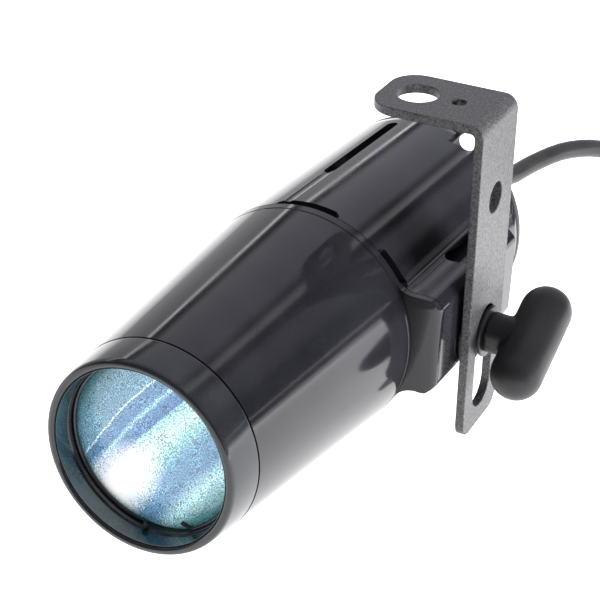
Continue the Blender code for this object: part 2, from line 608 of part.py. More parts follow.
def make_rear_cap(lamp):
    start = REAR_Y + GAP
    flange = start + 3 * MM
    dome = [(flange, 29 * MM), (flange + 5 * MM, 28 * MM), (flange + 8.2 * MM, 25.6 * MM),
            (flange + 10 * MM, 21.5 * MM), (flange + 10.4 * MM, 18 * MM)]
    outside = [(start - 7 * MM, BODY_R - WALL - GAP), (start, BODY_R - WALL - GAP),
               (start, BODY_R - 0.3 * MM), (flange - MM, BODY_R - 0.3 * MM), (flange, BODY_R - 1.4 * MM)]
    inside = [(flange + 8 * MM, 0), (flange + 8 * MM, 18 * MM), (flange + 5 * MM, 24 * MM),
              (flange, 26 * MM), (start - 7 * MM, 33 * MM)]
    cap = turned("rear_cap", inside + outside + dome + [(flange + 10.4 * MM, 0)])
    angle = math.radians(CABLE_NOTCH_ANGLE)
    eye = (CABLE_HOLE_AT_R * math.cos(angle), 0, CABLE_HOLE_AT_R * math.sin(angle))
    hole = cylinder("eye", CABLE_HOLE_R, start - 20 * MM, start + 20 * MM, "Y", eye, 20, CUTTERS)
    boolean(cap, hole, "DIFFERENCE")
    gland = (GLAND_X, 0, GLAND_Z)
    hole = cylinder("gland_hole", 6.5 * MM, start - 10 * MM, start + 40 * MM, "Y", gland, FINE, CUTTERS)
    boolean(cap, hole, "DIFFERENCE")
    screws = cap_screw_places()
    for x, z in screws:
        hole = cylinder("screw_hole", 1.9 * MM, start - 20 * MM, start + 40 * MM, "Y", (x, 0, z), 16,
                        CUTTERS)
        boolean(cap, hole, "DIFFERENCE")
    finish_piece(cap, "satin_black", lamp)
    for i, (x, z) in enumerate(screws):
        profile = [(start - 6 * MM, 0), (start - 6 * MM, 1.5 * MM), (flange + GAP, 1.5 * MM),
                   (flange + GAP, 3.0 * MM), (flange + 1.4 * MM, 2.8 * MM), (flange + 2.0 * MM, 1.9 * MM),
                   (flange + 2.0 * MM, 0)]
        finish_piece(turned(f"cap_screw_{i + 1}", profile, "Y", (x, 0, z), 16), "steel", lamp)
    back = flange + 10.4 * MM
    profile = [(flange + 5 * MM, 4.2 * MM), (flange + 5 * MM, 7.6 * MM), (flange + 8 * MM - GAP, 7.6 * MM),
               (flange + 8 * MM - GAP, 6.2 * MM), (back + MM, 6.2 * MM), (back + MM, 4.2 * MM)]
    finish_piece(turned("gland_nut", profile, "Y", (GLAND_X, 0, GLAND_Z), FINE), "satin_black", lamp)
    relief = [(back + MM + GAP, 3.8 * MM), (back + MM + GAP, 6.6 * MM), (back + 3 * MM, 7.2 * MM),
              (back + 5 * MM, 6.6 * MM), (RELIEF_END_Y, 4.4 * MM), (RELIEF_END_Y, 3.8 * MM)]
    finish_piece(turned("strain_relief", relief, "Y", (GLAND_X, 0, GLAND_Z), FINE), "rubber_black", lamp)


def cap_screw_places():
    """Three screws on a circle in the rear cap's flange."""
    angles = (math.radians(a) for a in (10.0, 130.0, 250.0))
    return [(33.5 * MM * math.cos(a), 33.5 * MM * math.sin(a)) for a in angles]


def make_ear_insert(lamp):
    at = (0, PIVOT_Y, -AXIS_OVER_PIVOT)
    profile = [(32.4 * MM, STUD_R + GAP), (32.4 * MM, 6.0 * MM), (EAR_FACE_X - 0.2 * MM, 6.0 * MM),
               (EAR_FACE_X - 0.2 * MM, STUD_R + GAP)]
    finish_piece(turned("ear_insert", profile, "X", at, FINE), "brass", lamp)


# Cord, coil and plug

def make_cord(lamp):
    route = [Vector(p) * MM for p in CORD_ROUTE]
    centre = Vector((COIL_X, COIL_Y, 0))
    parts = [(tube_through("power_cord", route, CORD_R), "cord_grey")]
    half = 2 * CORD_R
    low = FLOOR_Z + 0.2 * MM
    high = low + COIL_LAYERS * 2 * CORD_R
    profile = [(low, COIL_R - half), (low, COIL_R + half), (high, COIL_R + half), (high, COIL_R - half)]
    parts.append((turned("cord_coil", profile, "Z", centre, SEGMENTS), "cord_grey"))
    base = centre + Vector((0, 0, FLOOR_Z))
    tail = [base + Vector(p) * MM for p in TAIL_ROUTE]
    parts.append((tube_through("cord_tail", tail, CORD_R), "cord_grey"))
    parts += make_plug(base + Vector(PLUG_START) * MM)
    for piece, finish in parts:
        finish_piece(piece, finish)
        piece.parent = lamp
        piece.matrix_parent_inverse = lamp.matrix_world.inverted()


def make_plug(at):
    """A flat two-pin plug that lies on the coil, pins pointing away from the cord."""
    half_w = 17.0 * MM
    length = 34.0 * MM
    outline = [(0, -5.0 * MM), (10 * MM, -6.5 * MM), (16 * MM, -half_w + 2 * MM), (20 * MM, -half_w),
               (length, -half_w + 1.5 * MM), (length, half_w - 1.5 * MM), (20 * MM, half_w),
               (16 * MM, half_w - 2 * MM), (10 * MM, 6.5 * MM), (0, 5.0 * MM)]
    body = extruded("mains_plug", outline, -6.8 * MM, 6.8 * MM, "Z")
    pieces = [(body, "satin_black")]
    for i, side in enumerate((-9.5 * MM, 9.5 * MM)):
        profile = [(length + GAP, 0), (length + GAP, 2.0 * MM), (length + 18 * MM, 2.0 * MM),
                   (length + 19 * MM, 1.2 * MM), (length + 19 * MM, 0)]
        pieces.append((turned(f"plug_pin_{i + 1}", profile, "X", (0, side, 0), 12), "steel"))
    place = Matrix.Translation(at) @ Matrix.Rotation(PLUG_TURN, 4, "Z")
    for piece, _ in pieces:
        piece.data.transform(place)
    return pieces


def main():
    make_bracket()
    make_pivot()
    make_knob()
    pivot = bpy.data.objects.new("lamp_pivot", None)
    PARTS.objects.link(pivot)
    pivot.location = (LAMP_X, 0, PIVOT_Z)
    pivot.rotation_euler = Euler((-REST_TILT, 0, 0))
    lamp = bpy.data.objects.new("lamp_rim_centre", None)
    PARTS.objects.link(lamp)
    lamp.parent = pivot
    lamp.location = (0, -PIVOT_Y, AXIS_OVER_PIVOT)
    bpy.context.view_layer.update()
    make_front_ring(lamp)
    make_snap_ring(lamp)
    make_front_shell(lamp)
    make_rear_shell(lamp)
    make_ear_insert(lamp)
    make_light_engine(lamp)
    make_driver(lamp)
    make_rear_cap(lamp)
    make_cord(lamp)
    bpy.context.view_layer.update()


for old in list(bpy.data.objects):
    bpy.data.objects.remove(old)
PARTS = make_collection("par_can_light")
CUTTERS = make_collection("cutters")
main()
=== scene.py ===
"""The looks of a small LED par can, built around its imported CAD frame. All sizes are in metres."""

import json
import math

import bmesh
import bpy
from mathutils import Matrix, Vector


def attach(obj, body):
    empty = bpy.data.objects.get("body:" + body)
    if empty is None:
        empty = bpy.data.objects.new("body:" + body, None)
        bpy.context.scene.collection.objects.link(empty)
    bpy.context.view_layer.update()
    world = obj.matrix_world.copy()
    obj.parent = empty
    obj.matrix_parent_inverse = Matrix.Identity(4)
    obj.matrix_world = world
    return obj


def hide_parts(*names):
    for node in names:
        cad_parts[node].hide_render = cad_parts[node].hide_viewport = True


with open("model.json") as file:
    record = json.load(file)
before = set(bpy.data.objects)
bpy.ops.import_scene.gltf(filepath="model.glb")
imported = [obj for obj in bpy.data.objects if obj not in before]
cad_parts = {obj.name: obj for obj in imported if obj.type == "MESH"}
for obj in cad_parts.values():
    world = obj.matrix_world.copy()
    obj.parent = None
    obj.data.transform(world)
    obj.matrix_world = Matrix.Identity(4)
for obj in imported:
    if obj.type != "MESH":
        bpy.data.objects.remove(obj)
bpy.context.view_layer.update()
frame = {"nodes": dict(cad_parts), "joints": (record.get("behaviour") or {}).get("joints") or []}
NODES = frame["nodes"]
MM = 0.001

# The lamp's own frame: Y along the tube from the front rim, tilted in the bracket
TILT = math.radians(3.85)
PIVOT = Vector(next(j for j in frame["joints"] if j["name"] == "lamp_tilt")["pos_m"])
RIM_TO_PIVOT = 124.5 * MM
AXIS_OVER_PIVOT = 1.9 * MM
LAMP = (Matrix.Translation(PIVOT) @ Matrix.Rotation(-TILT, 4, "X")
        @ Matrix.Translation((0, -RIM_TO_PIVOT, AXIS_OVER_PIVOT)))

# Tube sizes in the lamp's frame
SEAM_1_Y = 12.6 * MM
SEAM_1_R = 31.2 * MM
SEAM_2_Y = 98.1 * MM
BODY_R = 38.5 * MM
REAR_Y = 187.0 * MM
WALL = 2.4 * MM
GAP = 0.3 * MM

# The ear's section in the lamp's frame
EAR_TOP_Z = 19.0 * MM
EAR_LOW_Z = -13.5 * MM
EAR_FACE_X = 47.4 * MM
EAR_CHAMFER = 3.0 * MM
EAR_FRONT_Y = 95.6 * MM
EAR_BACK_Y = 158.0 * MM
EAR_FRONT_R = 2.0 * MM
EAR_FILLET_R = 8.5 * MM

# Vents as (angle, front end), notches in the seam as (angle, width), all angles in degrees from +X
VENT_W = 4.0 * MM
VENT_END_Y = 180.0 * MM
VENTS = ((26.5, 125.0 * MM), (103.0, 128.0 * MM), (151.0, 123.0 * MM), (257.0, 128.0 * MM))
SEAM_NOTCHES = ((91.0, 32.0), (40.5, 21.0), (145.0, 26.0), (225.0, 30.0))
NOTCH_DEPTH = 3.0 * MM
CABLE_NOTCH_ANGLE = 64.5
CABLE_NOTCH_Y = 178.5 * MM
CABLE_NOTCH_W = 9.0 * MM

# Cord, in the frame's own axes; the tail's route starts from the coil's centre on the table
FLOOR_Z = -117.2 * MM
CORD_R = 3.5 * MM
COIL_CENTRE = Vector((56.0, 225.0, 0.0)) * MM
COIL_TURN_R = (42.0 * MM, 35.0 * MM)     # outer and inner turns
COIL_ENTRY = 7.8 * MM                    # how far outside the outer turn the cord comes in
CORD_STEP = 5 * MM
CORD_ROUTE = (
    (-14.05, 101.85, -80.05), (-14.0, 107.0, -80.5), (-12.8, 113.5, -81.6), (-10.2, 121.0, -82.6),
    (-7.4, 131.0, -82.2), (-0.9, 147.0, -81.8), (7.1, 160.0, -83.7), (12.3, 174.0, -90.2),
    (13.5, 187.0, -99.0), (12.6, 198.0, -105.8), (9.2, 208.0, -111.0), (7.1, 216.0, -113.4),
    (6.3, 222.0, -113.7),
)
TAIL_ROUTE = (
    (-42.0, 0.0, 18.0), (-40.25, 9.92, 18.15), (-35.22, 18.64, 18.3), (-27.5, 25.11, 18.3),
    (-18.04, 28.56, 18.3), (-7.96, 28.56, 18.3), (1.5, 25.11, 18.3), (7.51, 20.51, 18.3),
    (9.63, 18.39, 18.3),
)

# Ring and lens
RIM_R = 30.0 * MM
MOUTH_R = 27.2 * MM
SEAT_R = 24.6 * MM
LENS_R = 26.8 * MM
LENS_Y = 9.6 * MM
LENS_T = 3.6 * MM
LENS_DOME = 1.2 * MM
RING_BACK_Y = 21 * MM
RING_WALL = 2.7 * MM
SNAP_OPENING = (267.0, 297.0)            # degrees
SNAP_WIRE_R = 0.6 * MM
LENS_BEAD_R = 0.95 * MM

# The lens's look: bands as (place across the lens, colour), partly the glass's own blue-green and partly
# painted reflections, and one long white place of painted glare
BAND_TURN = math.radians(52.0)           # how the bands lean, from +X towards +Z
BAND_BOW = 3.5                           # how strongly they curve
# Dims the painted reflection bands
BAND_SHADE = 0.62
PAINTED_LENS_BANDS = (
    (0.0, (0.02, 0.12, 0.13)), (0.08, (0.1, 0.28, 0.31)), (0.17, (0.4, 0.66, 0.72)),
    (0.25, (0.12, 0.26, 0.42)), (0.36, (0.14, 0.31, 0.47)), (0.43, (0.3, 0.58, 0.6)),
    (0.49, (0.55, 0.8, 0.78)), (0.54, (0.4, 0.68, 0.7)), (0.577, (0.3, 0.56, 0.62)),
    (0.585, (0.08, 0.19, 0.4)), (0.645, (0.12, 0.26, 0.44)), (0.66, (0.34, 0.6, 0.7)),
    (0.68, (0.11, 0.24, 0.42)), (0.744, (0.12, 0.25, 0.4)), (0.75, (0.7, 0.85, 0.88)),
    (0.756, (0.17, 0.33, 0.45)), (0.87, (0.13, 0.27, 0.36)), (1.0, (0.015, 0.08, 0.09)),
)
# The painted glare: a white patch on the lens that stands in for a reflection
FLARE_AT = (-21.0 * MM, LENS_Y, -1.0 * MM)          # along the bands, behind the rim, across the bands
FLARE_SQUEEZE = 0.45                     # its width over its length
FLARE_FADE = (1.5 * MM, 10.5 * MM)       # white up to here, gone from here, across the bands
STIPPLE_SCALE = 3600.0
LENS_EDGE = 2.6 * MM
LENS_EDGE_COLOUR = (0.02, 0.12, 0.13)
# Painted glow: the lens gives off its painted colours as light of its own
LENS_PAINTED_GLOW = 0.4

# Shell details that are only looks
FRONT_WALL = 1.4 * MM
COLLAR_R = 36.05 * MM
GROOVE_HALF = 2.2                        # degrees, beside the vents
GROOVE_DEPTH = 0.5 * MM
LIP_LINE_DEPTH = 0.3 * MM                # the fine line around the front shell before the ear
NOTCH_CORNER_R = 1.6 * MM
VENT_WARP = (131.5 * MM, 176.0 * MM)     # rounding a vent's ends moves the grid's rows up to here

# Bracket
BAR_T = 2.9 * MM
BAR_W = 27.7 * MM
LEG_FACE_X = 27.4 * MM
LEG_BOTTOM_Z = -110.8 * MM
TOP_END_X = -11.4 * MM
BEND_R = 4.5 * MM
TOP_CORNER_R = 9.0 * MM
FOOT_CORNER_R = 5.5 * MM
HANG_HOLE_R = 6.55 * MM
PILOT_HOLE_R = 2.3 * MM
PILOT_HOLE_X = 13.45 * MM
LEG_HOLE_R = 5.0 * MM
LEG_HOLE_Z = -28.5 * MM
SLOT_R = 7.0 * MM
SLOT_LOW_Z = -97.3 * MM
SLOT_HIGH_Z = -74.1 * MM

# Knob and washers
STUD_R = 4.0 * MM
HUB_R = 6.75 * MM
BAR_R = 8.4 * MM
BAR_HALF = 12.7 * MM
BAR_LEAN = math.radians(66.3)
BAR_X = 43.0 * MM
WASHER_R = 8.4 * MM
WASHER_T = 1.2 * MM
BUSHING_R = 12.5 * MM
KNOB_GRAIN = 0.4 * MM                    # the size of the voxels that blend the hub into the bar

# Rear cap
CABLE_HOLE_R = 3.4 * MM
CABLE_HOLE_AT_R = 35.9 * MM
CAP_SCREW_ANGLES = (10.0, 130.0, 250.0)
CAP_SCREW_AT_R = 33.5 * MM
GLAND_X = 10.4 * MM
GLAND_Z = 1.0 * MM
GLAND_HOLE_R = 6.5 * MM
CAP_FLANGE_T = 3 * MM
CAP_DEPTH = 10.4 * MM
RELIEF_RIBS = 5
RELIEF_END_Y = 226.0 * MM

# Studio, with its strips as (angle about the tube in degrees, brightness, blueness)
WORLD_STRENGTH = 0.8
FRONT_DIM = 0.15                         # how bright the studio is behind the camera
FLOOR_GLOW = 1.1                         # the table is lit from below
WORLD_STRIPS = (
    (-180, 1.0, 1.0), (-1, 1.0, 1.0), (0, 0.05, 1.0), (4.5, 0.05, 1.0), (5, 2.2, 1.0), (6.5, 2.2, 1.0),
    (7, 0.03, 1.0), (24, 0.05, 1.1), (34, 0.35, 1.12), (50, 0.45, 1.15), (58, 0.06, 1.1),
    (64, 0.06, 1.1), (66, 1.3, 1.05), (69, 1.3, 1.05), (75, 0.1, 1.1), (84, 0.75, 1.15),
    (132, 1.0, 1.12), (139, 0.12, 1.1), (144.5, 0.12, 1.1), (145, 5.5, 1.0), (146.5, 5.5, 1.0),
    (147.5, 0.9, 1.1), (180, 1.1, 1.0),
)
LIGHTS = (                               # name, place, aim, size, watts
    ("overhead", (0.1, 0.1, 1.4), (0, 0.05, 0), (1.6, 1.6), 16),
    ("front_fill", (-0.5, -1.2, 0.5), (0, 0, 0), (0.9, 0.9), 2.5),
    ("side", (1.3, 0.15, 0.05), (0.03, 0, -0.05), (0.9, 0.5), 65),
)

CAMERA_AT = Vector((184.97 * MM, -432.91 * MM, 205.98 * MM))
CAMERA_AZIMUTH = math.radians(27.39)
CAMERA_ELEVATION = math.radians(30.742)
CAMERA_ROLL = math.radians(0.692)
CAMERA_LENS = 100.98                     # mm, on a 36 mm sensor

SHARP_ANGLE = 35.0                       # degrees
TINY = 1e-6


# Materials

def shader_tree(name):
    """A new material, its node tree and its shader."""
    made = bpy.data.materials.new(name)
    made.use_nodes = True
    tree = made.node_tree
    return made, tree, tree.nodes["Principled BSDF"]


def noise(tree, scale, detail=4.0, stretch=(1, 1, 1)):
    """A noise pattern fixed to the piece, finer along the axes with a larger stretch."""
    coords = tree.nodes.new("ShaderNodeTexCoord")
    mapping = tree.nodes.new("ShaderNodeMapping")
    mapping.inputs["Scale"].default_value = stretch
    texture = tree.nodes.new("ShaderNodeTexNoise")
    texture.inputs["Scale"].default_value = scale
    texture.inputs["Detail"].default_value = detail
    tree.links.new(coords.outputs["Object"], mapping.inputs["Vector"])
    tree.links.new(mapping.outputs["Vector"], texture.inputs["Vector"])
    return texture.outputs["Fac"]


def spread(tree, value, low, high, start=0.35, end=0.65):
    """Stretch a pattern's start-to-end part over low to high."""
    node = tree.nodes.new("ShaderNodeMapRange")
    for key, number in (("From Min", start), ("From Max", end), ("To Min", low), ("To Max", high)):
        node.inputs[key].default_value = number
    tree.links.new(value, node.inputs["Value"])
    return node.outputs["Result"]


def ramp(tree, value, stops):
    """Colours along a value, from stops of (position, colour) in rising order."""
    node = tree.nodes.new("ShaderNodeValToRGB")
    elements = node.color_ramp.elements
    elements[0].position = stops[0][0]
    elements[-1].position = stops[-1][0]
    for position, _ in stops[1:-1]:
        elements.new(position)
    for element, (_, colour) in zip(elements, stops):
        element.color = (*colour, 1)
    tree.links.new(value, node.inputs["Fac"])
    return node.outputs["Color"]


def mix(tree, factor, first, second, blend="MIX"):
    """A mix of two colours; each input is a socket or a plain value."""
    node = tree.nodes.new("ShaderNodeMix")
    node.data_type = "RGBA"
    node.blend_type = blend
    for source, socket in ((factor, node.inputs[0]), (first, node.inputs[6]), (second, node.inputs[7])):
        if isinstance(source, bpy.types.NodeSocket):
            tree.links.new(source, socket)
        elif socket.type == "RGBA":
            socket.default_value = (*source, 1)
        else:
            socket.default_value = source
    return node.outputs[2]


def math_node(tree, operation, *values):
    """One sum on sockets or plain numbers."""
    node = tree.nodes.new("ShaderNodeMath")
    node.operation = operation
    for socket, value in zip(node.inputs, values):
        if isinstance(value, bpy.types.NodeSocket):
            tree.links.new(value, socket)
        else:
            socket.default_value = value
    return node.outputs["Value"]


def bump(tree, shader, height, strength, distance):
    """Let a pattern stand out of the surface."""
    node = tree.nodes.new("ShaderNodeBump")
    node.inputs["Strength"].default_value = strength
    node.inputs["Distance"].default_value = distance
    tree.links.new(height, node.inputs["Height"])
    tree.links.new(node.outputs["Normal"], shader.inputs["Normal"])


def surface(name, dark, light, rough, metallic=0.0, coat=0.0, clouds=90.0, grain=2500.0, grip=0.2,
            depth=0.02 * MM, specular=0.5, stretch=(1, 1, 1)):
    """A material with cloudy colour, smudged roughness and a fine grain in relief."""
    made, tree, shader = shader_tree(name)
    grains = noise(tree, grain, 3.0, stretch)
    half_clouds = math_node(tree, "MULTIPLY", noise(tree, clouds), 0.5)
    speckle = math_node(tree, "MULTIPLY_ADD", grains, 0.5, half_clouds)
    tree.links.new(ramp(tree, speckle, ((0.38, dark), (0.62, light))), shader.inputs["Base Color"])
    tree.links.new(spread(tree, noise(tree, clouds * 0.6, 6.0), *rough), shader.inputs["Roughness"])
    bump(tree, shader, grains, grip, depth)
    shader.inputs["Metallic"].default_value = metallic
    shader.inputs["Specular IOR Level"].default_value = specular
    shader.inputs["Coat Weight"].default_value = coat
    shader.inputs["Coat Roughness"].default_value = 0.08
    return made


def lens_frost_and_painted_reflections():
    """Stippled blue-green glass with painted reflections: bright bands across it, whitest at one end where
    a painted glare sits, and a painted glow.
    """
    made, tree, shader = shader_tree("lens_frost_and_painted_reflections")
    coords = tree.nodes.new("ShaderNodeTexCoord").outputs["Object"]
    turned = mapped(tree, coords, "Rotation", (0, BAND_TURN, 0))
    # Painted glare, as a share from 0 to 1
    white = paint_lens_glare(tree, turned)
    lit = mix(tree, white, painted_lens_bands(tree, turned), (1.0, 1.0, 1.0))
    stipple = noise(tree, STIPPLE_SCALE, 1.0)
    patches = spread(tree, noise(tree, 160.0, 2.0), 0.7, 1.0)
    dots = spread(tree, stipple, 0.25, 4.2, 0.4, 0.72)
    grey = tree.nodes.new("ShaderNodeCombineColor")
    for socket in grey.inputs:
        tree.links.new(dots, socket)
    calm = math_node(tree, "MULTIPLY", patches, spread(tree, white, 1.0, 0.1, 0, 1))
    # The stipple laid over the painted reflection bands and the painted glare
    frost_and_painted_light = mix(tree, calm, lit, grey.outputs["Color"], "MULTIPLY")
    radius = tree.nodes.new("ShaderNodeVectorMath")
    radius.operation = "LENGTH"
    tree.links.new(mapped(tree, coords, "Scale", (1, 0, 1)), radius.inputs[0])
    rim = spread(tree, radius.outputs["Value"], 0, 0.75, LENS_R - LENS_EDGE, LENS_R)
    colour = mix(tree, rim, frost_and_painted_light, LENS_EDGE_COLOUR)
    tree.links.new(colour, shader.inputs["Base Color"])
    # Painted glow: the painted colours also shine as emission
    tree.links.new(colour, shader.inputs["Emission Color"])
    tree.links.new(spread(tree, stipple, 0.25, 0.6), shader.inputs["Roughness"])
    bump(tree, shader, stipple, 0.5, 0.08 * MM)
    shader.inputs["Emission Strength"].default_value = LENS_PAINTED_GLOW
    shader.inputs["Coat Weight"].default_value = 0.6
    shader.inputs["Coat Roughness"].default_value = 0.12
    return made


def mapped(tree, vector, key, value):
    """A vector turned or scaled by a mapping node."""
    node = tree.nodes.new("ShaderNodeMapping")
    node.inputs[key].default_value = value
    tree.links.new(vector, node.inputs["Vector"])
    return node.outputs["Vector"]


def painted_lens_bands(tree, turned):
    """The lens's coloured bands, partly the glass's own tint and partly painted reflections, bowed and with
    slightly wandering edges.
    """
    split = tree.nodes.new("ShaderNodeSeparateXYZ")
    tree.links.new(turned, split.inputs["Vector"])
    along = split.outputs["X"]
    bow = math_node(tree, "MULTIPLY", math_node(tree, "MULTIPLY", along, along), BAND_BOW)
    wander = spread(tree, noise(tree, 70.0, 2.0), -0.3 * MM, 0.3 * MM)
    place = math_node(tree, "ADD", math_node(tree, "ADD", split.outputs["Z"], bow), wander)
    # Painted reflections: the bands' colours, dimmed
    stops = [(position, [BAND_SHADE * value for value in colour]) for position, colour in PAINTED_LENS_BANDS]
    return ramp(tree, spread(tree, place, 0, 1, -LENS_R, LENS_R), stops)


def paint_lens_glare(tree, turned):
    """How much painted white glare the lens has, from 0 to 1: highest in one place that is drawn out along
    the bands.
    """
    flare = tree.nodes.new("ShaderNodeVectorMath")
    flare.operation = "DISTANCE"
    flare.inputs[1].default_value = (FLARE_AT[0] * FLARE_SQUEEZE, FLARE_AT[1], FLARE_AT[2])
    tree.links.new(mapped(tree, turned, "Scale", (FLARE_SQUEEZE, 1, 1)), flare.inputs[0])
    return spread(tree, flare.outputs["Value"], 1, 0, *FLARE_FADE)


def make_materials():
    """Every finish, by the name of its slot in the record where it has one."""
    made = {
        "gloss_black": surface("gloss_black", (0.006, 0.006, 0.008), (0.012, 0.012, 0.015), (0.07, 0.13),
                               grip=0.02, grain=1800.0, clouds=50.0),
        "satin_black": surface("satin_black", (0.012, 0.012, 0.013), (0.022, 0.022, 0.024), (0.3, 0.42),
                               grip=0.12, grain=3000.0),
        "ring_black": surface("ring_black", (0.008, 0.009, 0.011), (0.016, 0.017, 0.02), (0.11, 0.18),
                              grip=0.06, grain=2200.0),
        "powder_black": surface("powder_black", (0.015, 0.015, 0.016), (0.11, 0.11, 0.115), (0.34, 0.46),
                                metallic=0.3, grip=0.8, depth=0.09 * MM, grain=2600.0, clouds=1400.0),
        "knob_black": surface("knob_black", (0.007, 0.007, 0.008), (0.014, 0.014, 0.015), (0.34, 0.48),
                              grip=0.2, grain=2800.0, specular=0.4),
        "rubber_black": surface("rubber_black", (0.012, 0.012, 0.012), (0.028, 0.028, 0.029), (0.5, 0.7),
                                grip=0.25, grain=2600.0),
        "cord_grey": surface("cord_grey", (0.012, 0.012, 0.013), (0.024, 0.024, 0.026), (0.3, 0.45),
                             grip=0.15, grain=1500.0),
        "bore_teal": surface("bore_teal", (0.004, 0.022, 0.03), (0.008, 0.045, 0.058), (0.1, 0.2),
                             grip=0.05, coat=0.5),
        "lens_glass": lens_frost_and_painted_reflections(),
        "clear_plastic": surface("clear_plastic", (0.75, 0.8, 0.84), (0.9, 0.93, 0.95), (0.06, 0.16),
                                 grip=0.05),
        "steel": surface("steel", (0.42, 0.43, 0.45), (0.62, 0.63, 0.65), (0.2, 0.38), metallic=1.0,
                         stretch=(1, 8, 1), grain=900.0),
        "dark_steel": surface("dark_steel", (0.03, 0.032, 0.035), (0.07, 0.072, 0.078), (0.25, 0.4),
                              metallic=0.8, grain=1600.0),
        "brass": surface("brass", (0.6, 0.44, 0.18), (0.76, 0.6, 0.3), (0.22, 0.4), metallic=1.0),
        "aluminium": surface("aluminium", (0.55, 0.56, 0.58), (0.75, 0.76, 0.78), (0.3, 0.45), metallic=1.0,
                             stretch=(1, 1, 6), grain=1200.0),
        "board_green": surface("board_green", (0.02, 0.13, 0.05), (0.05, 0.22, 0.1), (0.35, 0.5)),
        "board_white": surface("board_white", (0.76, 0.76, 0.73), (0.86, 0.86, 0.84), (0.35, 0.5)),
        "led_yellow": surface("led_yellow", (0.8, 0.66, 0.12), (0.92, 0.82, 0.26), (0.25, 0.4)),
        "copper": surface("copper", (0.55, 0.24, 0.1), (0.78, 0.4, 0.22), (0.28, 0.45), metallic=1.0,
                          stretch=(1, 1, 9), grain=1200.0),
        "nylon_white": surface("nylon_white", (0.68, 0.68, 0.63), (0.82, 0.82, 0.78), (0.4, 0.6)),
        "can_blue": surface("can_blue", (0.03, 0.06, 0.2), (0.07, 0.12, 0.3), (0.28, 0.42)),
        "floor_white": surface("floor_white", (0.84, 0.84, 0.84), (0.88, 0.88, 0.88), (0.75, 0.9),
                               clouds=3.0, grain=300.0, grip=0.02, specular=0.1),
    }
    glow = made["floor_white"].node_tree.nodes["Principled BSDF"]
    glow.inputs["Emission Color"].default_value = (1.0, 1.0, 1.0, 1.0)
    glow.inputs["Emission Strength"].default_value = FLOOR_GLOW
    return made


# Shapes

def finish_mesh(name, shape, finish, body, place=LAMP, smooth=SHARP_ANGLE, replaced=()):
    """Turn a bmesh into a piece that rides on a body. Place takes its frame to the world's."""
    bmesh.ops.recalc_face_normals(shape, faces=shape.faces)
    mesh = bpy.data.meshes.new(name)
    shape.to_mesh(mesh)
    shape.free()
    mesh.materials.append(MATERIALS[finish])
    mesh.shade_smooth()
    if smooth:
        mesh.set_sharp_from_angle(angle=math.radians(smooth))
    piece = bpy.data.objects.new(name, mesh)
    piece.matrix_world = place
    bpy.context.scene.collection.objects.link(piece)
    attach(piece, body)
    if replaced:
        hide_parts(*replaced)
    return piece


def soften(profile, radius):
    """Round every corner of a closed profile."""
    points = [Vector(p) for p in profile]
    out = []
    for before, corner, after in zip([points[-1], *points], points, [*points[1:], points[0]]):
        if corner.y < TINY:
            out.append(corner)
            continue
        back = before - corner
        ahead = after - corner
        cut = min(radius, 0.45 * back.length, 0.45 * ahead.length)
        start = corner + back.normalized() * cut
        end = corner + ahead.normalized() * cut
        for i in range(5):
            t = i / 4
            out.append(start * (1 - t) ** 2 + corner * 2 * t * (1 - t) + end * t * t)
    return out


def lathe(profile, steps=160, axis="Y", at=(0, 0, 0)):
    """A turned shape. The profile is a closed loop of (along, radius)."""
    turn = {"X": Matrix.Rotation(math.pi / 2, 4, "Y"), "Y": Matrix.Rotation(-math.pi / 2, 4, "X"),
            "Z": Matrix.Identity(4)}[axis]
    shape = bmesh.new()
    rows = []
    for along, radius in profile:
        if radius < TINY:
            rows.append([shape.verts.new((0, 0, along))])
            continue
        turns = [2 * math.pi * i / steps for i in range(steps)]
        rows.append([shape.verts.new((radius * math.cos(t), radius * math.sin(t), along)) for t in turns])
    pairs = list(zip(rows, rows[1:]))
    if len(rows[0]) > 1 and len(rows[-1]) > 1:
        pairs.append((rows[-1], rows[0]))
    for low, high in pairs:
        for i in range(steps):
            k = (i + 1) % steps
            corners = (low[i % len(low)], low[k % len(low)], high[k % len(high)], high[i % len(high)])
            loop = list(dict.fromkeys(corners))
            if len(loop) > 2:
                shape.faces.new(loop)
    shape.transform(Matrix.Translation(at) @ turn)
    return shape


def cut_away(piece, cutters, bevel=0.0):
    """Cut shapes out of a piece for good, then round its sharp edges."""
    for shape in cutters:
        bmesh.ops.recalc_face_normals(shape, faces=shape.faces)
        mesh = bpy.data.meshes.new("cutter")
        shape.to_mesh(mesh)
        shape.free()
        cutter = bpy.data.objects.new("cutter", mesh)
        cutter.matrix_world = piece.matrix_world
        bpy.context.scene.collection.objects.link(cutter)
        step = piece.modifiers.new("cut", "BOOLEAN")
        step.operation = "DIFFERENCE"
        step.solver = "EXACT"
        step.object = cutter
        apply_modifiers(piece)
        bpy.data.objects.remove(cutter)
    if bevel:
        round_edges(piece, bevel)


def round_edges(piece, width):
    """Bevel the sharp edges of a piece for good."""
    step = piece.modifiers.new("rounded_edges", "BEVEL")
    step.width = width
    step.segments = 3
    step.limit_method = "ANGLE"
    step.angle_limit = math.radians(SHARP_ANGLE)
    step.harden_normals = True
    apply_modifiers(piece)


def apply_modifiers(piece):
    """Keep a piece's modified mesh in place of its own."""
    bpy.context.view_layer.update()
    graph = bpy.context.evaluated_depsgraph_get()
    mesh = bpy.data.meshes.new_from_object(piece.evaluated_get(graph), depsgraph=graph)
    piece.modifiers.clear()
    piece.data = mesh


def arc(centre, radius, start, end, count=12):
    """Points along an arc, with the angles in degrees."""
    angles = (math.radians(start + (end - start) * i / count) for i in range(count + 1))
    return [(centre[0] + radius * math.cos(a), centre[1] + radius * math.sin(a)) for a in angles]


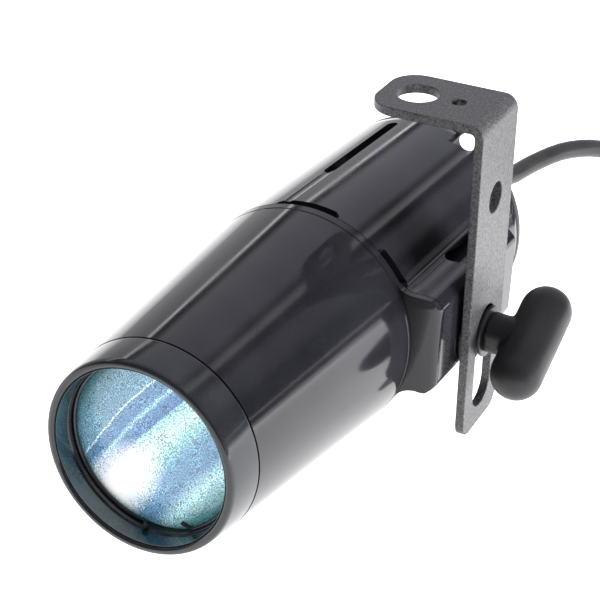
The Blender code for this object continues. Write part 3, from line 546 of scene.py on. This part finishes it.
def prism(outline, low, high, axis):
    """A flat outline of (u, v) points swept from low to high along an axis."""
    place = {"Z": lambda u, v, w: (u, v, w), "Y": lambda u, v, w: (u, w, v),
             "X": lambda u, v, w: (w, u, v)}[axis]
    shape = bmesh.new()
    bottom = [shape.verts.new(place(u, v, low)) for u, v in outline]
    top = [shape.verts.new(place(u, v, high)) for u, v in outline]
    shape.faces.new(bottom)
    shape.faces.new(top)
    for i in range(len(outline)):
        k = (i + 1) % len(outline)
        shape.faces.new((bottom[i], bottom[k], top[k], top[i]))
    return shape


def smooth_line(points, step):
    """Points about a step apart on a Catmull-Rom curve through the route."""
    ends = [points[0] * 2 - points[1], *points, points[-1] * 2 - points[-2]]
    line = []
    for p0, p1, p2, p3 in zip(ends, ends[1:], ends[2:], ends[3:]):
        count = max(1, round((p2 - p1).length / step))
        for i in range(count):
            t = i / count
            line.append(0.5 * (2 * p1 + (p2 - p0) * t + (2 * p0 - 5 * p1 + 4 * p2 - p3) * t * t
                               + (3 * p1 - p0 - 3 * p2 + p3) * t ** 3))
    line.append(points[-1])
    return line


def sweep(name, points, radius, finish, body, place=LAMP):
    """A round wire or cord along a line of points, as a curve that rides on a body."""
    curve = bpy.data.curves.new(name, "CURVE")
    curve.dimensions = "3D"
    curve.bevel_depth = radius
    curve.bevel_resolution = 6
    curve.use_fill_caps = True
    spline = curve.splines.new("POLY")
    spline.points.add(len(points) - 1)
    for point, co in zip(spline.points, points):
        point.co = (*co, 1)
    piece = bpy.data.objects.new(name, curve)
    piece.matrix_world = place
    bpy.context.scene.collection.objects.link(piece)
    curve.materials.append(MATERIALS[finish])
    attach(piece, body)
    return piece


# Tube shells

def ear_points():
    """The ear's section above the tube, from its upper fillet to its lower one, as (x, z)."""
    points = []
    for side, sign in ((EAR_TOP_Z, 1), (EAR_LOW_Z, -1)):
        rise = side + sign * EAR_FILLET_R
        centre_x = math.sqrt((BODY_R + EAR_FILLET_R) ** 2 - rise ** 2)
        touch = math.degrees(math.atan2(rise, centre_x))
        fillet = arc((centre_x, rise), EAR_FILLET_R, touch + 180, 270 if sign > 0 else 90, 14)
        points.append(fillet if sign > 0 else fillet[::-1])
    outer = [(EAR_FACE_X - EAR_CHAMFER, EAR_TOP_Z), (EAR_FACE_X, EAR_TOP_Z - EAR_CHAMFER),
             (EAR_FACE_X, EAR_LOW_Z + EAR_CHAMFER), (EAR_FACE_X - EAR_CHAMFER, EAR_LOW_Z)]
    rounded = []
    chain = [Vector(p) for p in [points[0][-1], *outer, points[1][0]]]
    for before, corner, after in zip(chain, chain[1:], chain[2:]):
        cut = 0.4 * min((before - corner).length, (after - corner).length, 2.6 * MM)
        start = corner + (before - corner).normalized() * cut
        end = corner + (after - corner).normalized() * cut
        rounded += [start, (start + 2 * corner + end) / 4, end]
    return [Vector(p) for p in points[0]] + rounded + [Vector(p) for p in points[1]]


def ear_radius(angle, points):
    """The distance from the tube's axis to the ear's section at an angle in degrees, or 0 outside it."""
    ray = Vector((math.cos(math.radians(angle)), math.sin(math.radians(angle))))
    for a, b in zip(points, points[1:]):
        cross = ray.x * (b.y - a.y) - ray.y * (b.x - a.x)
        if abs(cross) < TINY ** 2:
            continue
        share = (ray.y * a.x - ray.x * a.y) / cross
        if -TINY <= share <= 1 + TINY:
            return (a + (b - a) * share).dot(ray)
    return 0.0


def opening(angle, half_width, start, end, start_round, end_round):
    """A hole in a shell: its middle angle, and its half width as an angle at the tube's radius."""
    half_angle = math.degrees(half_width / BODY_R)
    return {"angle": angle, "half": half_angle, "width": half_width, "start": start, "end": end,
            "start_round": start_round, "end_round": end_round}


def shell_grid(rows, angles, outer, inner, openings=(), warp=(None, None)):
    """A walled tube from a grid of radii, with holes whose ends are rounded by moving rows."""
    shape = bmesh.new()
    columns = len(angles)

    def moved(y, angle):
        for hole in openings:
            offset = abs((angle - hole["angle"] + 180) % 360 - 180)
            if offset > hole["half"] + TINY:
                continue
            aside = offset / hole["half"] * hole["width"]
            for rounding, edge, far in ((hole["start_round"], hole["start"], warp[0]),
                                        (hole["end_round"], hole["end"], warp[1])):
                if not rounding or far is None:
                    continue
                beyond = max(0.0, aside - (hole["width"] - rounding))
                shift = rounding - math.sqrt(max(0.0, rounding ** 2 - beyond ** 2))
                span = abs(far - edge)
                into = (y - edge) if far > edge else (edge - y)
                if -1e-7 <= into <= span:
                    change = shift * (1 - into / span)
                    y += change if far > edge else -change
        return y

    def inside(y, angle):
        for hole in openings:
            offset = abs((angle - hole["angle"] + 180) % 360 - 180)
            if offset < hole["half"] and hole["start"] < y < hole["end"]:
                return True
        return False

    def point(y, angle, radius):
        turn = math.radians(angle)
        return shape.verts.new((radius * math.cos(turn), moved(y, angle), radius * math.sin(turn)))

    skins = []
    for radius_of in (outer, inner):
        skins.append([[point(y, a, radius_of(y, a, k)) for a in angles] for k, y in enumerate(rows)])
    kept = []
    for k in range(len(rows) - 1):
        middle = (rows[k] + rows[k + 1]) / 2
        for i in range(columns):
            j = (i + 1) % columns
            step = (angles[j] - angles[i]) % 360
            if not inside(middle, angles[i] + step / 2):
                kept.append((k, i, j))
    for skin in skins:
        for k, i, j in kept:
            shape.faces.new((skin[k][i], skin[k][j], skin[k + 1][j], skin[k + 1][i]))
    twin = {}
    for low, high in zip(*skins):
        twin.update(zip(low, high))
    rims = [e for e in shape.edges if len(e.link_faces) == 1 and e.verts[0] in twin]
    for edge in rims:
        a, b = edge.verts
        shape.faces.new((a, b, twin[b], twin[a]))
    loose = [v for v in shape.verts if not v.link_faces]
    bmesh.ops.delete(shape, geom=loose, context="VERTS")
    bmesh.ops.remove_doubles(shape, verts=shape.verts, dist=0.005 * MM)
    return shape


def shell_angles(openings, extra, step=2.5):
    """Grid angles: an even spread, the sides of every opening, and a few more, none too close."""
    fixed = []
    for hole in openings:
        shares = (-1, -0.8, -0.4, 0, 0.4, 0.8, 1) if hole["width"] < 6 * MM else (-1, -0.9, 0.9, 1)
        fixed += [hole["angle"] + hole["half"] * s for s in shares]
    fixed = sorted({round(a % 360, 4) for a in [*fixed, *extra]})
    spread_out = []
    for k in range(round(360 / step)):
        angle = k * step
        if all(abs((angle - f + 180) % 360 - 180) > 0.45 * step for f in fixed):
            spread_out.append(angle)
    return sorted([*fixed, *spread_out])


def make_front_shell():
    """The tapered front half, with the front of the ear and a fine line around it."""
    ear = ear_points()
    start = SEAM_1_Y + GAP
    end = SEAM_2_Y - GAP
    groove = EAR_FRONT_Y - 0.8 * MM
    corner_y = EAR_FRONT_Y + EAR_FRONT_R
    rows = [start + (80 * MM - start) * i / 24 for i in range(25)]
    rows += [84 * MM, 88 * MM, 92 * MM, groove - 0.35 * MM, groove, groove + 0.35 * MM]
    rows += [EAR_FRONT_Y, EAR_FRONT_Y]
    rows += [corner_y - EAR_FRONT_R * math.cos(math.radians(a)) for a in (18, 36, 54, 72, 90)]
    rows.append(end)
    face_row = rows.index(EAR_FRONT_Y) + 1
    groove_row = rows.index(groove)

    def outer(y, angle, row):
        radius = SEAM_1_R + (BODY_R - SEAM_1_R) * (y - SEAM_1_Y) / (SEAM_2_Y - SEAM_1_Y)
        side = ear_radius(angle, ear) if row >= face_row else 0.0
        if side:
            side += radius - BODY_R
            into = min(0.0, y - corner_y)
            reach = EAR_FACE_X - EAR_FRONT_R + math.sqrt(max(0.0, EAR_FRONT_R ** 2 - into ** 2))
            side = min(side, reach / max(0.2, math.cos(math.radians(angle))))
        radius = max(radius, side)
        return radius - LIP_LINE_DEPTH if row == groove_row else radius

    def inner(y, angle, row):
        return SEAM_1_R - FRONT_WALL + (BODY_R - SEAM_1_R) * (y - SEAM_1_Y) / (SEAM_2_Y - SEAM_1_Y)

    angles = shell_angles([], ear_angles(ear), 2.0)
    shape = shell_grid(rows, angles, outer, inner)
    shell = finish_mesh("front_shell_skin", shape, "gloss_black", "lamp", replaced=("front_shell",))
    round_edges(shell, 0.3 * MM)


def ear_angles(points):
    """The grid angles that follow the ear's corners, with an even spread between them."""
    corners = [math.degrees(math.atan2(p.y, p.x)) for p in points]
    between = [a for a in range(math.ceil(min(corners)), math.floor(max(corners)))
               if min(abs(a - c) for c in corners) > 0.4]
    return corners + between


def make_rear_shell():
    """The straight rear half, with its vents, notches and the rest of the ear, and a collar in the seam."""
    ear = ear_points()
    start = SEAM_2_Y
    warp_start, warp_end = VENT_WARP
    holes = [opening(a, VENT_W / 2, y, VENT_END_Y, VENT_W / 2, VENT_W / 2) for a, y in VENTS]
    rims = [opening(a, math.radians(w / 2) * BODY_R, start - MM, start + NOTCH_DEPTH, 0, 1.2 * MM)
            for a, w in SEAM_NOTCHES]
    cable = opening(CABLE_NOTCH_ANGLE, CABLE_NOTCH_W / 2, CABLE_NOTCH_Y, REAR_Y + MM, 2.5 * MM, 0)
    rows = [start, start + NOTCH_DEPTH]
    rows += [y * MM for y in (104, 108, 112, 116, 120, 123, 125, 128)]
    rows.append(warp_start)
    rows += [warp_start + (EAR_BACK_Y - warp_start) * i / 6 for i in range(1, 7)]
    rows += [EAR_BACK_Y, 164 * MM, 170 * MM, warp_end, CABLE_NOTCH_Y, VENT_END_Y, 183 * MM,
             REAR_Y - 1.5 * MM, REAR_Y]
    ear_rows = rows.index(EAR_BACK_Y)

    def outer(y, angle, row):
        radius = BODY_R - (0.6 * MM if y > REAR_Y - 0.1 * MM else 0.0)
        if row <= ear_rows:
            radius = max(radius, ear_radius(angle, ear))
        for middle, vent_y in VENTS:
            offset = abs((angle - middle + 180) % 360 - 180) / GROOVE_HALF
            if offset < 1 and start + 2 * MM < y < vent_y + 0.1 * MM:
                radius -= GROOVE_DEPTH * (1 - offset ** 2)
        return radius

    def inner(y, angle, row):
        return BODY_R - WALL

    grooves = [middle + GROOVE_HALF * share for middle, _ in VENTS for share in (-1.4, 1.4)]
    angles = shell_angles([*holes, *rims, cable], [*ear_angles(ear), *grooves], 2.0)
    shape = shell_grid(rows, angles, outer, inner, [*holes, cable], VENT_WARP)
    shell = finish_mesh("rear_shell_skin", shape, "gloss_black", "lamp", replaced=("rear_shell",))
    cut_away(shell, [notch_cutter(rim["angle"], rim["half"]) for rim in rims])
    round_edges(shell, 0.25 * MM)
    inner_r = BODY_R - WALL - 0.9 * MM
    collar = soften([(start - 4.5 * MM, inner_r), (start - 4.5 * MM, COLLAR_R), (start + 6 * MM, COLLAR_R),
                     (start + 6 * MM, inner_r)], 0.4 * MM)
    finish_mesh("seam_collar", lathe(collar), "satin_black", "lamp")


def notch_cutter(angle, half):
    """A piece of a ring that cuts a notch with rounded corners into the seam, half a width to each side."""
    shape = bmesh.new()
    steps = 12
    before = -2 * MM
    skins = []
    for radius in (BODY_R - WALL - MM, BODY_R + 3 * MM):
        skins.append([])
        for k in range(steps + 1):
            across = -half + 2 * half * k / steps
            depth = NOTCH_DEPTH - corner_drop(half, across)
            turn = math.radians(angle + across)
            x, z = radius * math.cos(turn), radius * math.sin(turn)
            skins[-1].append([shape.verts.new((x, SEAM_2_Y + y, z)) for y in (before, depth)])
    low, high = skins
    for k in range(steps):
        for skin in skins:
            shape.faces.new((skin[k][0], skin[k + 1][0], skin[k + 1][1], skin[k][1]))
        for end in (0, 1):
            shape.faces.new((low[k][end], low[k + 1][end], high[k + 1][end], high[k][end]))
    for k in (0, steps):
        shape.faces.new((low[k][0], low[k][1], high[k][1], high[k][0]))
    return shape


def corner_drop(half, across):
    """How far a notch's rounded corner falls short of its depth, at an angle from its middle."""
    beyond = max(0.0, math.radians(abs(across) - half) * BODY_R + NOTCH_CORNER_R)
    return NOTCH_CORNER_R - math.sqrt(max(0.0, NOTCH_CORNER_R ** 2 - min(beyond, NOTCH_CORNER_R) ** 2))


def make_front_ring():
    """The front ring with its lined bore, and the domed lens behind it."""
    lens_back = LENS_Y + LENS_T
    seat = lens_back + 1.9 * MM
    back_r = SEAM_1_R - RING_WALL
    profile = [(0.5 * MM, MOUTH_R + 0.3 * MM), (0, RIM_R - 1.7 * MM), (0.4 * MM, RIM_R - 0.4 * MM),
               (1.3 * MM, RIM_R), (SEAM_1_Y, SEAM_1_R), (SEAM_1_Y, back_r), (RING_BACK_Y, back_r),
               (RING_BACK_Y, SEAT_R), (seat, SEAT_R), (seat, MOUTH_R - 0.2 * MM),
               (8.2 * MM, MOUTH_R - 0.2 * MM), (7.8 * MM, MOUTH_R - 0.6 * MM),
               (6.6 * MM, MOUTH_R - 0.6 * MM), (6.0 * MM, MOUTH_R)]
    finish_mesh("front_ring_turned", lathe(soften(profile, 0.6 * MM), 240), "ring_black", "lamp",
                replaced=("front_ring",))
    bore = [(0.9 * MM, MOUTH_R), (0.9 * MM, MOUTH_R - 0.12 * MM), (5.9 * MM, MOUTH_R - 0.12 * MM),
            (5.9 * MM, MOUTH_R)]
    finish_mesh("ring_bore", lathe(bore, 240), "bore_teal", "lamp")
    front = [(LENS_Y - LENS_DOME * (1 - (k / 12) ** 2), 0.97 * LENS_R * k / 12) for k in range(13)]
    profile = front + [(LENS_Y + 0.5 * MM, LENS_R), (lens_back - 0.5 * MM, LENS_R),
                       (lens_back, 0.98 * LENS_R), (lens_back, 0)]
    finish_mesh("lens_dome", lathe(profile, 200), "lens_glass", "lamp", replaced=("lens",))


def make_snap_ring():
    """The wire that holds the lens: one end is hooked inwards, the other forwards to a bead."""
    ring_r = MOUTH_R - SNAP_WIRE_R - GAP
    y = LENS_Y - SNAP_WIRE_R - 0.2 * MM
    low, high = SNAP_OPENING
    turns = [math.radians(high + (360 + low - high) * i / 180) for i in range(181)]
    points = [Vector((ring_r * math.cos(t), y, ring_r * math.sin(t))) for t in turns]
    hook = math.radians(high - 4)
    hook_r = ring_r - 2.4 * MM
    first = Vector((hook_r * math.cos(hook), y - 0.4 * MM, hook_r * math.sin(hook)))
    end = points[-1]
    tip = end + Vector((0, -2.2 * MM, 0)) - end.normalized() * 0.4 * MM
    line = smooth_line([first, *points[1::3], tip], 0.5 * MM)
    wire = sweep("lens_retaining_wire", line, SNAP_WIRE_R, "dark_steel", "lamp")
    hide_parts("lens_snap_ring")
    bead = bmesh.new()
    bmesh.ops.create_uvsphere(bead, u_segments=24, v_segments=16, radius=LENS_BEAD_R)
    bead.transform(Matrix.Translation(tip))
    finish_mesh("lens_wire_bead", bead, "dark_steel", "lamp")


def make_bracket():
    """The bent bar, with its corners rounded and its holes and slot cut."""
    half = BAR_W / 2
    middle = LEG_FACE_X - BEND_R
    outline = [(TOP_END_X, 0.0), *arc((middle, -BEND_R), BEND_R, 90, 0, 16),
               (LEG_FACE_X, LEG_BOTTOM_Z), (LEG_FACE_X - BAR_T, LEG_BOTTOM_Z),
               *arc((middle, -BEND_R), BEND_R - BAR_T, 0, 90, 16), (TOP_END_X, -BAR_T)]
    piece = finish_mesh("bracket_bar", prism(outline, -half, half, "Y"), "powder_black", "bracket",
                        Matrix.Identity(4), replaced=("bracket",))
    far = 60 * MM
    deep = 8 * MM
    cutters = []
    for side in (-1, 1):
        corner = arc((TOP_END_X + TOP_CORNER_R, side * (half - TOP_CORNER_R)), TOP_CORNER_R, 180,
                     180 - side * 90, 20)
        outer = [(TOP_END_X + TOP_CORNER_R, side * (half + deep)), (TOP_END_X - deep, side * (half + deep)),
                 (TOP_END_X - deep, side * (half - TOP_CORNER_R))]
        cutters.append(prism(corner + outer, -deep, deep, "Z"))
        foot_z = LEG_BOTTOM_Z + FOOT_CORNER_R
        corner = arc((side * (half - FOOT_CORNER_R), foot_z), FOOT_CORNER_R, 270, 270 + side * 90, 16)
        outer = [(side * (half + deep), foot_z), (side * (half + deep), LEG_BOTTOM_Z - deep),
                 (side * (half - FOOT_CORNER_R), LEG_BOTTOM_Z - deep)]
        cutters.append(prism(corner + outer, 0, far, "X"))
    slot = arc((0, SLOT_HIGH_Z), SLOT_R, 0, 180, 32) + arc((0, SLOT_LOW_Z), SLOT_R, 180, 360, 32)
    cutters.append(prism(slot, 0, far, "X"))
    cutters.append(prism(arc((0, 0), HANG_HOLE_R, 0, 354, 59), -deep, deep, "Z"))
    cutters.append(prism(arc((PILOT_HOLE_X, 0), PILOT_HOLE_R, 0, 350, 35), -deep, deep, "Z"))
    cutters.append(prism(arc((0, LEG_HOLE_Z), LEG_HOLE_R, 0, 352.5, 47), 0, far, "X"))
    cut_away(piece, cutters, 0.35 * MM)


def make_pivot():
    """The bushing between the ear and the bracket, and the washer under the knob."""
    inner = LEG_FACE_X - BAR_T
    ear_x = PIVOT.x + EAR_FACE_X
    bore = STUD_R + GAP
    at = (0, 0, PIVOT.z)
    profile = [(ear_x + GAP, bore), (ear_x + GAP, BUSHING_R), (inner - GAP, BUSHING_R),
               (inner - GAP, SLOT_R - GAP), (LEG_FACE_X - GAP, SLOT_R - GAP), (LEG_FACE_X - GAP, bore)]
    finish_mesh("slot_bushing_turned", lathe(soften(profile, 0.3 * MM), 96, "X", at), "satin_black",
                "slot_slider", Matrix.Identity(4), replaced=("slot_bushing",))
    start = LEG_FACE_X + GAP
    profile = [(start, bore), (start, WASHER_R), (start + WASHER_T, WASHER_R), (start + WASHER_T, bore)]
    finish_mesh("thrust_washer_turned", lathe(soften(profile, 0.3 * MM), 96, "X", at), "satin_black",
                "knob_washer", Matrix.Identity(4), replaced=("thrust_washer",))


def make_knob():
    """The T-bar and its hub, blended into one moulding."""
    hub_x = LEG_FACE_X + 2 * GAP + WASHER_T
    at = Vector((0, 0, PIVOT.z))
    inward = BAR_X - hub_x
    profile = [(hub_x, 0), (hub_x, HUB_R), (hub_x + 0.35 * inward, HUB_R - 0.2 * MM),
               (hub_x + 0.7 * inward, HUB_R + 0.2 * MM), (BAR_X, HUB_R + 0.6 * MM), (BAR_X, 0)]
    shape = lathe(profile, 64, "X", at)
    bar = bmesh.new()
    bmesh.ops.create_uvsphere(bar, u_segments=64, v_segments=48, radius=BAR_R)
    for vert in bar.verts:
        vert.co.z += math.copysign(BAR_HALF, vert.co.z) if abs(vert.co.z) > TINY else 0
    bar.transform(Matrix.Translation((BAR_X, 0, PIVOT.z)) @ Matrix.Rotation(-BAR_LEAN, 4, "X"))
    joined = bpy.data.meshes.new("joined")
    bar.to_mesh(joined)
    bar.free()
    shape.from_mesh(joined)
    bpy.data.meshes.remove(joined)
    knob = finish_mesh("knob_moulding", shape, "knob_black", "knob", Matrix.Identity(4), smooth=0,
                       replaced=("knob_grip",))
    remesh = knob.modifiers.new("remesh", "REMESH")
    remesh.mode = "VOXEL"
    remesh.voxel_size = KNOB_GRAIN
    remesh.use_smooth_shade = True
    ease = knob.modifiers.new("ease", "SMOOTH")
    ease.factor = 0.5
    ease.iterations = 12
    apply_modifiers(knob)
    knob.data.materials.clear()
    knob.data.materials.append(MATERIALS["knob_black"])


def make_rear_cap():
    """The domed cap behind the tube, with its cable eye and a hole for the gland."""
    start = REAR_Y + GAP
    flange = start + CAP_FLANGE_T
    inside = BODY_R - WALL - GAP
    back = flange + CAP_DEPTH
    profile = [(flange + 8 * MM, 0), (flange + 8 * MM, 18 * MM), (flange + 5 * MM, 24 * MM),
               (flange, 26 * MM), (start - 7 * MM, 33 * MM), (start - 7 * MM, inside), (start, inside),
               (start, BODY_R - 0.3 * MM), (flange, BODY_R - 0.3 * MM), (flange, 29 * MM),
               (flange + 5 * MM, 28 * MM), (flange + 8.2 * MM, 25.6 * MM), (flange + 10 * MM, 21.5 * MM),
               (back, 18 * MM), (back, 0)]
    cap = finish_mesh("rear_cap_turned", lathe(soften(profile, 1.0 * MM), 200), "satin_black", "lamp",
                      replaced=("rear_cap",))
    eye = around(CABLE_HOLE_AT_R, CABLE_NOTCH_ANGLE)
    holes = []
    for radius, at in ((CABLE_HOLE_R, eye), (GLAND_HOLE_R, (GLAND_X, 0, GLAND_Z))):
        low, high = start - 20 * MM, start + 40 * MM
        holes.append(lathe([(low, 0), (low, radius), (high, radius), (high, 0)], 64, "Y", at))
    cut_away(cap, holes)
    for i, degrees in enumerate(CAP_SCREW_ANGLES):
        make_cap_screw(f"cap_screw_{i + 1}", flange, around(CAP_SCREW_AT_R, degrees))
    make_gland(flange, back)


def around(radius, degrees):
    """A place in the lamp's frame at a radius and an angle about the tube's axis."""
    turn = math.radians(degrees)
    return (radius * math.cos(turn), 0, radius * math.sin(turn))


def make_cap_screw(node, flange, at):
    """A pan-head screw with a cross cut in its head."""
    tip = flange - CAP_FLANGE_T - 6 * MM
    head = flange + 2.0 * MM
    profile = [(tip, 0), (tip, 1.5 * MM), (flange + GAP, 1.5 * MM), (flange + GAP, 3.0 * MM),
               (flange + 1.3 * MM, 2.8 * MM), (head, 1.8 * MM), (head, 0)]
    screw = finish_mesh(f"{node}_turned", lathe(soften(profile, 0.3 * MM), 64, "Y", at), "steel", "lamp",
                        replaced=(node,))
    cross = []
    for width, height in ((3.2 * MM, 0.7 * MM), (0.7 * MM, 3.2 * MM)):
        outline = [(at[0] + u * width / 2, at[2] + v * height / 2)
                   for u, v in ((-1, -1), (1, -1), (1, 1), (-1, 1))]
        cross.append(prism(outline, head - 0.9 * MM, head + MM, "Y"))
    cut_away(screw, cross)


def make_gland(flange, back):
    """The gland's nut and the ribbed, tapered strain relief."""
    at = (GLAND_X, 0, GLAND_Z)
    profile = [(flange + 5 * MM, 4.2 * MM), (flange + 5 * MM, 7.6 * MM), (flange + 7.7 * MM, 7.6 * MM),
               (flange + 7.7 * MM, 6.2 * MM), (back + MM, 6.2 * MM), (back + MM, 4.2 * MM)]
    finish_mesh("gland_nut_turned", lathe(soften(profile, 0.3 * MM), 64, "Y", at), "satin_black", "lamp",
                replaced=("gland_nut",))
    first = back + MM + GAP
    taper = back + 5 * MM
    profile = [(first, 3.8 * MM), (first, 6.6 * MM), (back + 3 * MM, 7.2 * MM), (taper, 6.6 * MM)]
    for k in range(RELIEF_RIBS):
        share = (k + 0.35) / RELIEF_RIBS
        y = taper + (RELIEF_END_Y - taper) * share
        radius = 6.6 * MM - 2.2 * MM * share
        profile += [(y, radius), (y + 0.4 * MM, radius - 0.8 * MM), (y + 1.3 * MM, radius - 0.9 * MM),
                    (y + 1.7 * MM, radius - 0.2 * MM)]
    profile += [(RELIEF_END_Y, 4.4 * MM), (RELIEF_END_Y, 3.8 * MM)]
    finish_mesh("strain_relief_ribbed", lathe(soften(profile, 0.3 * MM), 64, "Y", at), "rubber_black",
                "lamp", replaced=("strain_relief",))


def keep_cad_pieces():
    """Give every CAD piece that stays in view a better version of its own finish."""
    for node in NODES.values():
        for slot in node.material_slots:
            name = slot.material.name.split(".")[0] if slot.material else ""
            if name in MATERIALS and slot.material is not MATERIALS[name]:
                slot.material = MATERIALS[name]


# Light and camera

def make_world():
    """A studio with dark and light strips that run along the tube, dimmer behind the camera."""
    world = bpy.data.worlds.new("studio")
    bpy.context.scene.world = world
    world.use_nodes = True
    tree = world.node_tree
    coords = tree.nodes.new("ShaderNodeTexCoord")
    split = tree.nodes.new("ShaderNodeSeparateXYZ")
    tree.links.new(coords.outputs["Generated"], split.inputs["Vector"])
    turn = math_node(tree, "ARCTAN2", split.outputs["Z"], split.outputs["X"])
    place = spread(tree, turn, 0, 1, -math.pi, math.pi)
    strips = ramp(tree, place, [((math.radians(a) + math.pi) / (2 * math.pi), (v, v, v * b))
                                for a, v, b in WORLD_STRIPS])
    front = spread(tree, split.outputs["Y"], FRONT_DIM, 1.0, -0.65, 0.15)
    dimmed = tree.nodes.new("ShaderNodeVectorMath")
    dimmed.operation = "SCALE"
    tree.links.new(strips, dimmed.inputs[0])
    tree.links.new(front, dimmed.inputs["Scale"])
    tree.links.new(dimmed.outputs["Vector"], tree.nodes["Background"].inputs["Color"])
    tree.nodes["Background"].inputs["Strength"].default_value = WORLD_STRENGTH


def make_light(name, at, aim, size, watts):
    """A soft panel that lights the object and doesn't show in its gloss."""
    data = bpy.data.lights.new(name, "AREA")
    data.shape = "RECTANGLE"
    data.size, data.size_y = size
    data.energy = watts
    light = bpy.data.objects.new(name, data)
    light.location = at
    light.rotation_euler = (Vector(aim) - Vector(at)).to_track_quat("-Z", "Y").to_euler()
    light.visible_glossy = False
    bpy.context.scene.collection.objects.link(light)


def make_camera():
    """The camera that matches the photo."""
    data = bpy.data.cameras.new("camera")
    data.sensor_width = 36.0
    data.lens = CAMERA_LENS
    data.clip_start = 0.01
    camera = bpy.data.objects.new("camera", data)
    bpy.context.scene.collection.objects.link(camera)
    pitch = Matrix.Rotation(math.pi / 2 - CAMERA_ELEVATION, 4, "X")
    turn = Matrix.Rotation(CAMERA_AZIMUTH, 4, "Z") @ pitch @ Matrix.Rotation(CAMERA_ROLL, 4, "Z")
    camera.matrix_world = Matrix.Translation(CAMERA_AT) @ turn
    bpy.context.scene.camera = camera


# Cord

def coil_line(turns_low, turns_high):
    """The coil's turns, clockwise from its left side: the low layer inwards, the high one outwards.

    The cord comes in from outside the low layer and rises off the high one to where the tail starts.
    """
    steps = 24
    outer, inner = COIL_TURN_R
    low_z = FLOOR_Z + CORD_R + 0.2 * MM
    high_z = low_z + 2 * CORD_R
    top_z = FLOOR_Z + TAIL_ROUTE[0][2] * MM
    points = []
    total_low = round(turns_low * steps)
    total_high = round(turns_high * steps)
    for i in range(total_low + total_high + 1):
        angle = math.pi - 2 * math.pi * i / steps
        if i <= total_low:
            share = smooth_step((i - 0.75 * steps) / (0.5 * steps))
            entry = COIL_ENTRY * (1 - smooth_step(i / (0.3 * steps)))
            radius = outer + (inner - outer) * share + entry
            z = low_z + (high_z - low_z) * smooth_step((i - total_low + 0.4 * steps) / (0.4 * steps))
        else:
            share = smooth_step((i - total_low - 0.75 * steps) / (0.5 * steps))
            radius = inner + (outer - inner) * share
            rise = smooth_step((i - total_low - total_high + 0.4 * steps) / (0.4 * steps))
            z = high_z + (top_z - high_z) * rise
        points.append(COIL_CENTRE + Vector((radius * math.cos(angle), radius * math.sin(angle), z)))
    return points


def smooth_step(t):
    """A soft step from 0 to 1."""
    t = min(1.0, max(0.0, t))
    return t * t * (3 - 2 * t)


def make_cord():
    """The whole mains cord: down to the table, around the coil and along the tail to its plug."""
    start = [Vector(p) * MM for p in CORD_ROUTE]
    base = COIL_CENTRE + Vector((0, 0, FLOOR_Z))
    tail = [base + Vector(p) * MM for p in TAIL_ROUTE]
    coil = coil_line(2.0, 2.0)
    line = smooth_line([*start, *coil[1:-1], *tail], CORD_STEP)
    cord = sweep("mains_cord", line, CORD_R, "cord_grey", "lamp", Matrix.Identity(4))
    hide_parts("power_cord", "cord_coil", "cord_tail")


def make_floor():
    """The table, which is not part of the object."""
    mesh = bpy.data.meshes.new("floor")
    shape = bmesh.new()
    bmesh.ops.create_grid(shape, x_segments=1, y_segments=1, size=6.0)
    shape.to_mesh(mesh)
    shape.free()
    floor = bpy.data.objects.new("floor", mesh)
    floor.location = (0, 0, FLOOR_Z)
    mesh.materials.append(MATERIALS["floor_white"])
    bpy.context.scene.collection.objects.link(floor)


MATERIALS = make_materials()
bpy.context.scene.view_settings.view_transform = "Standard"
make_camera()
make_front_ring()
make_snap_ring()
make_front_shell()
make_rear_shell()
make_rear_cap()
make_bracket()
make_pivot()
make_knob()
make_cord()
keep_cad_pieces()
make_floor()
make_world()
for settings in LIGHTS:
    make_light(*settings)
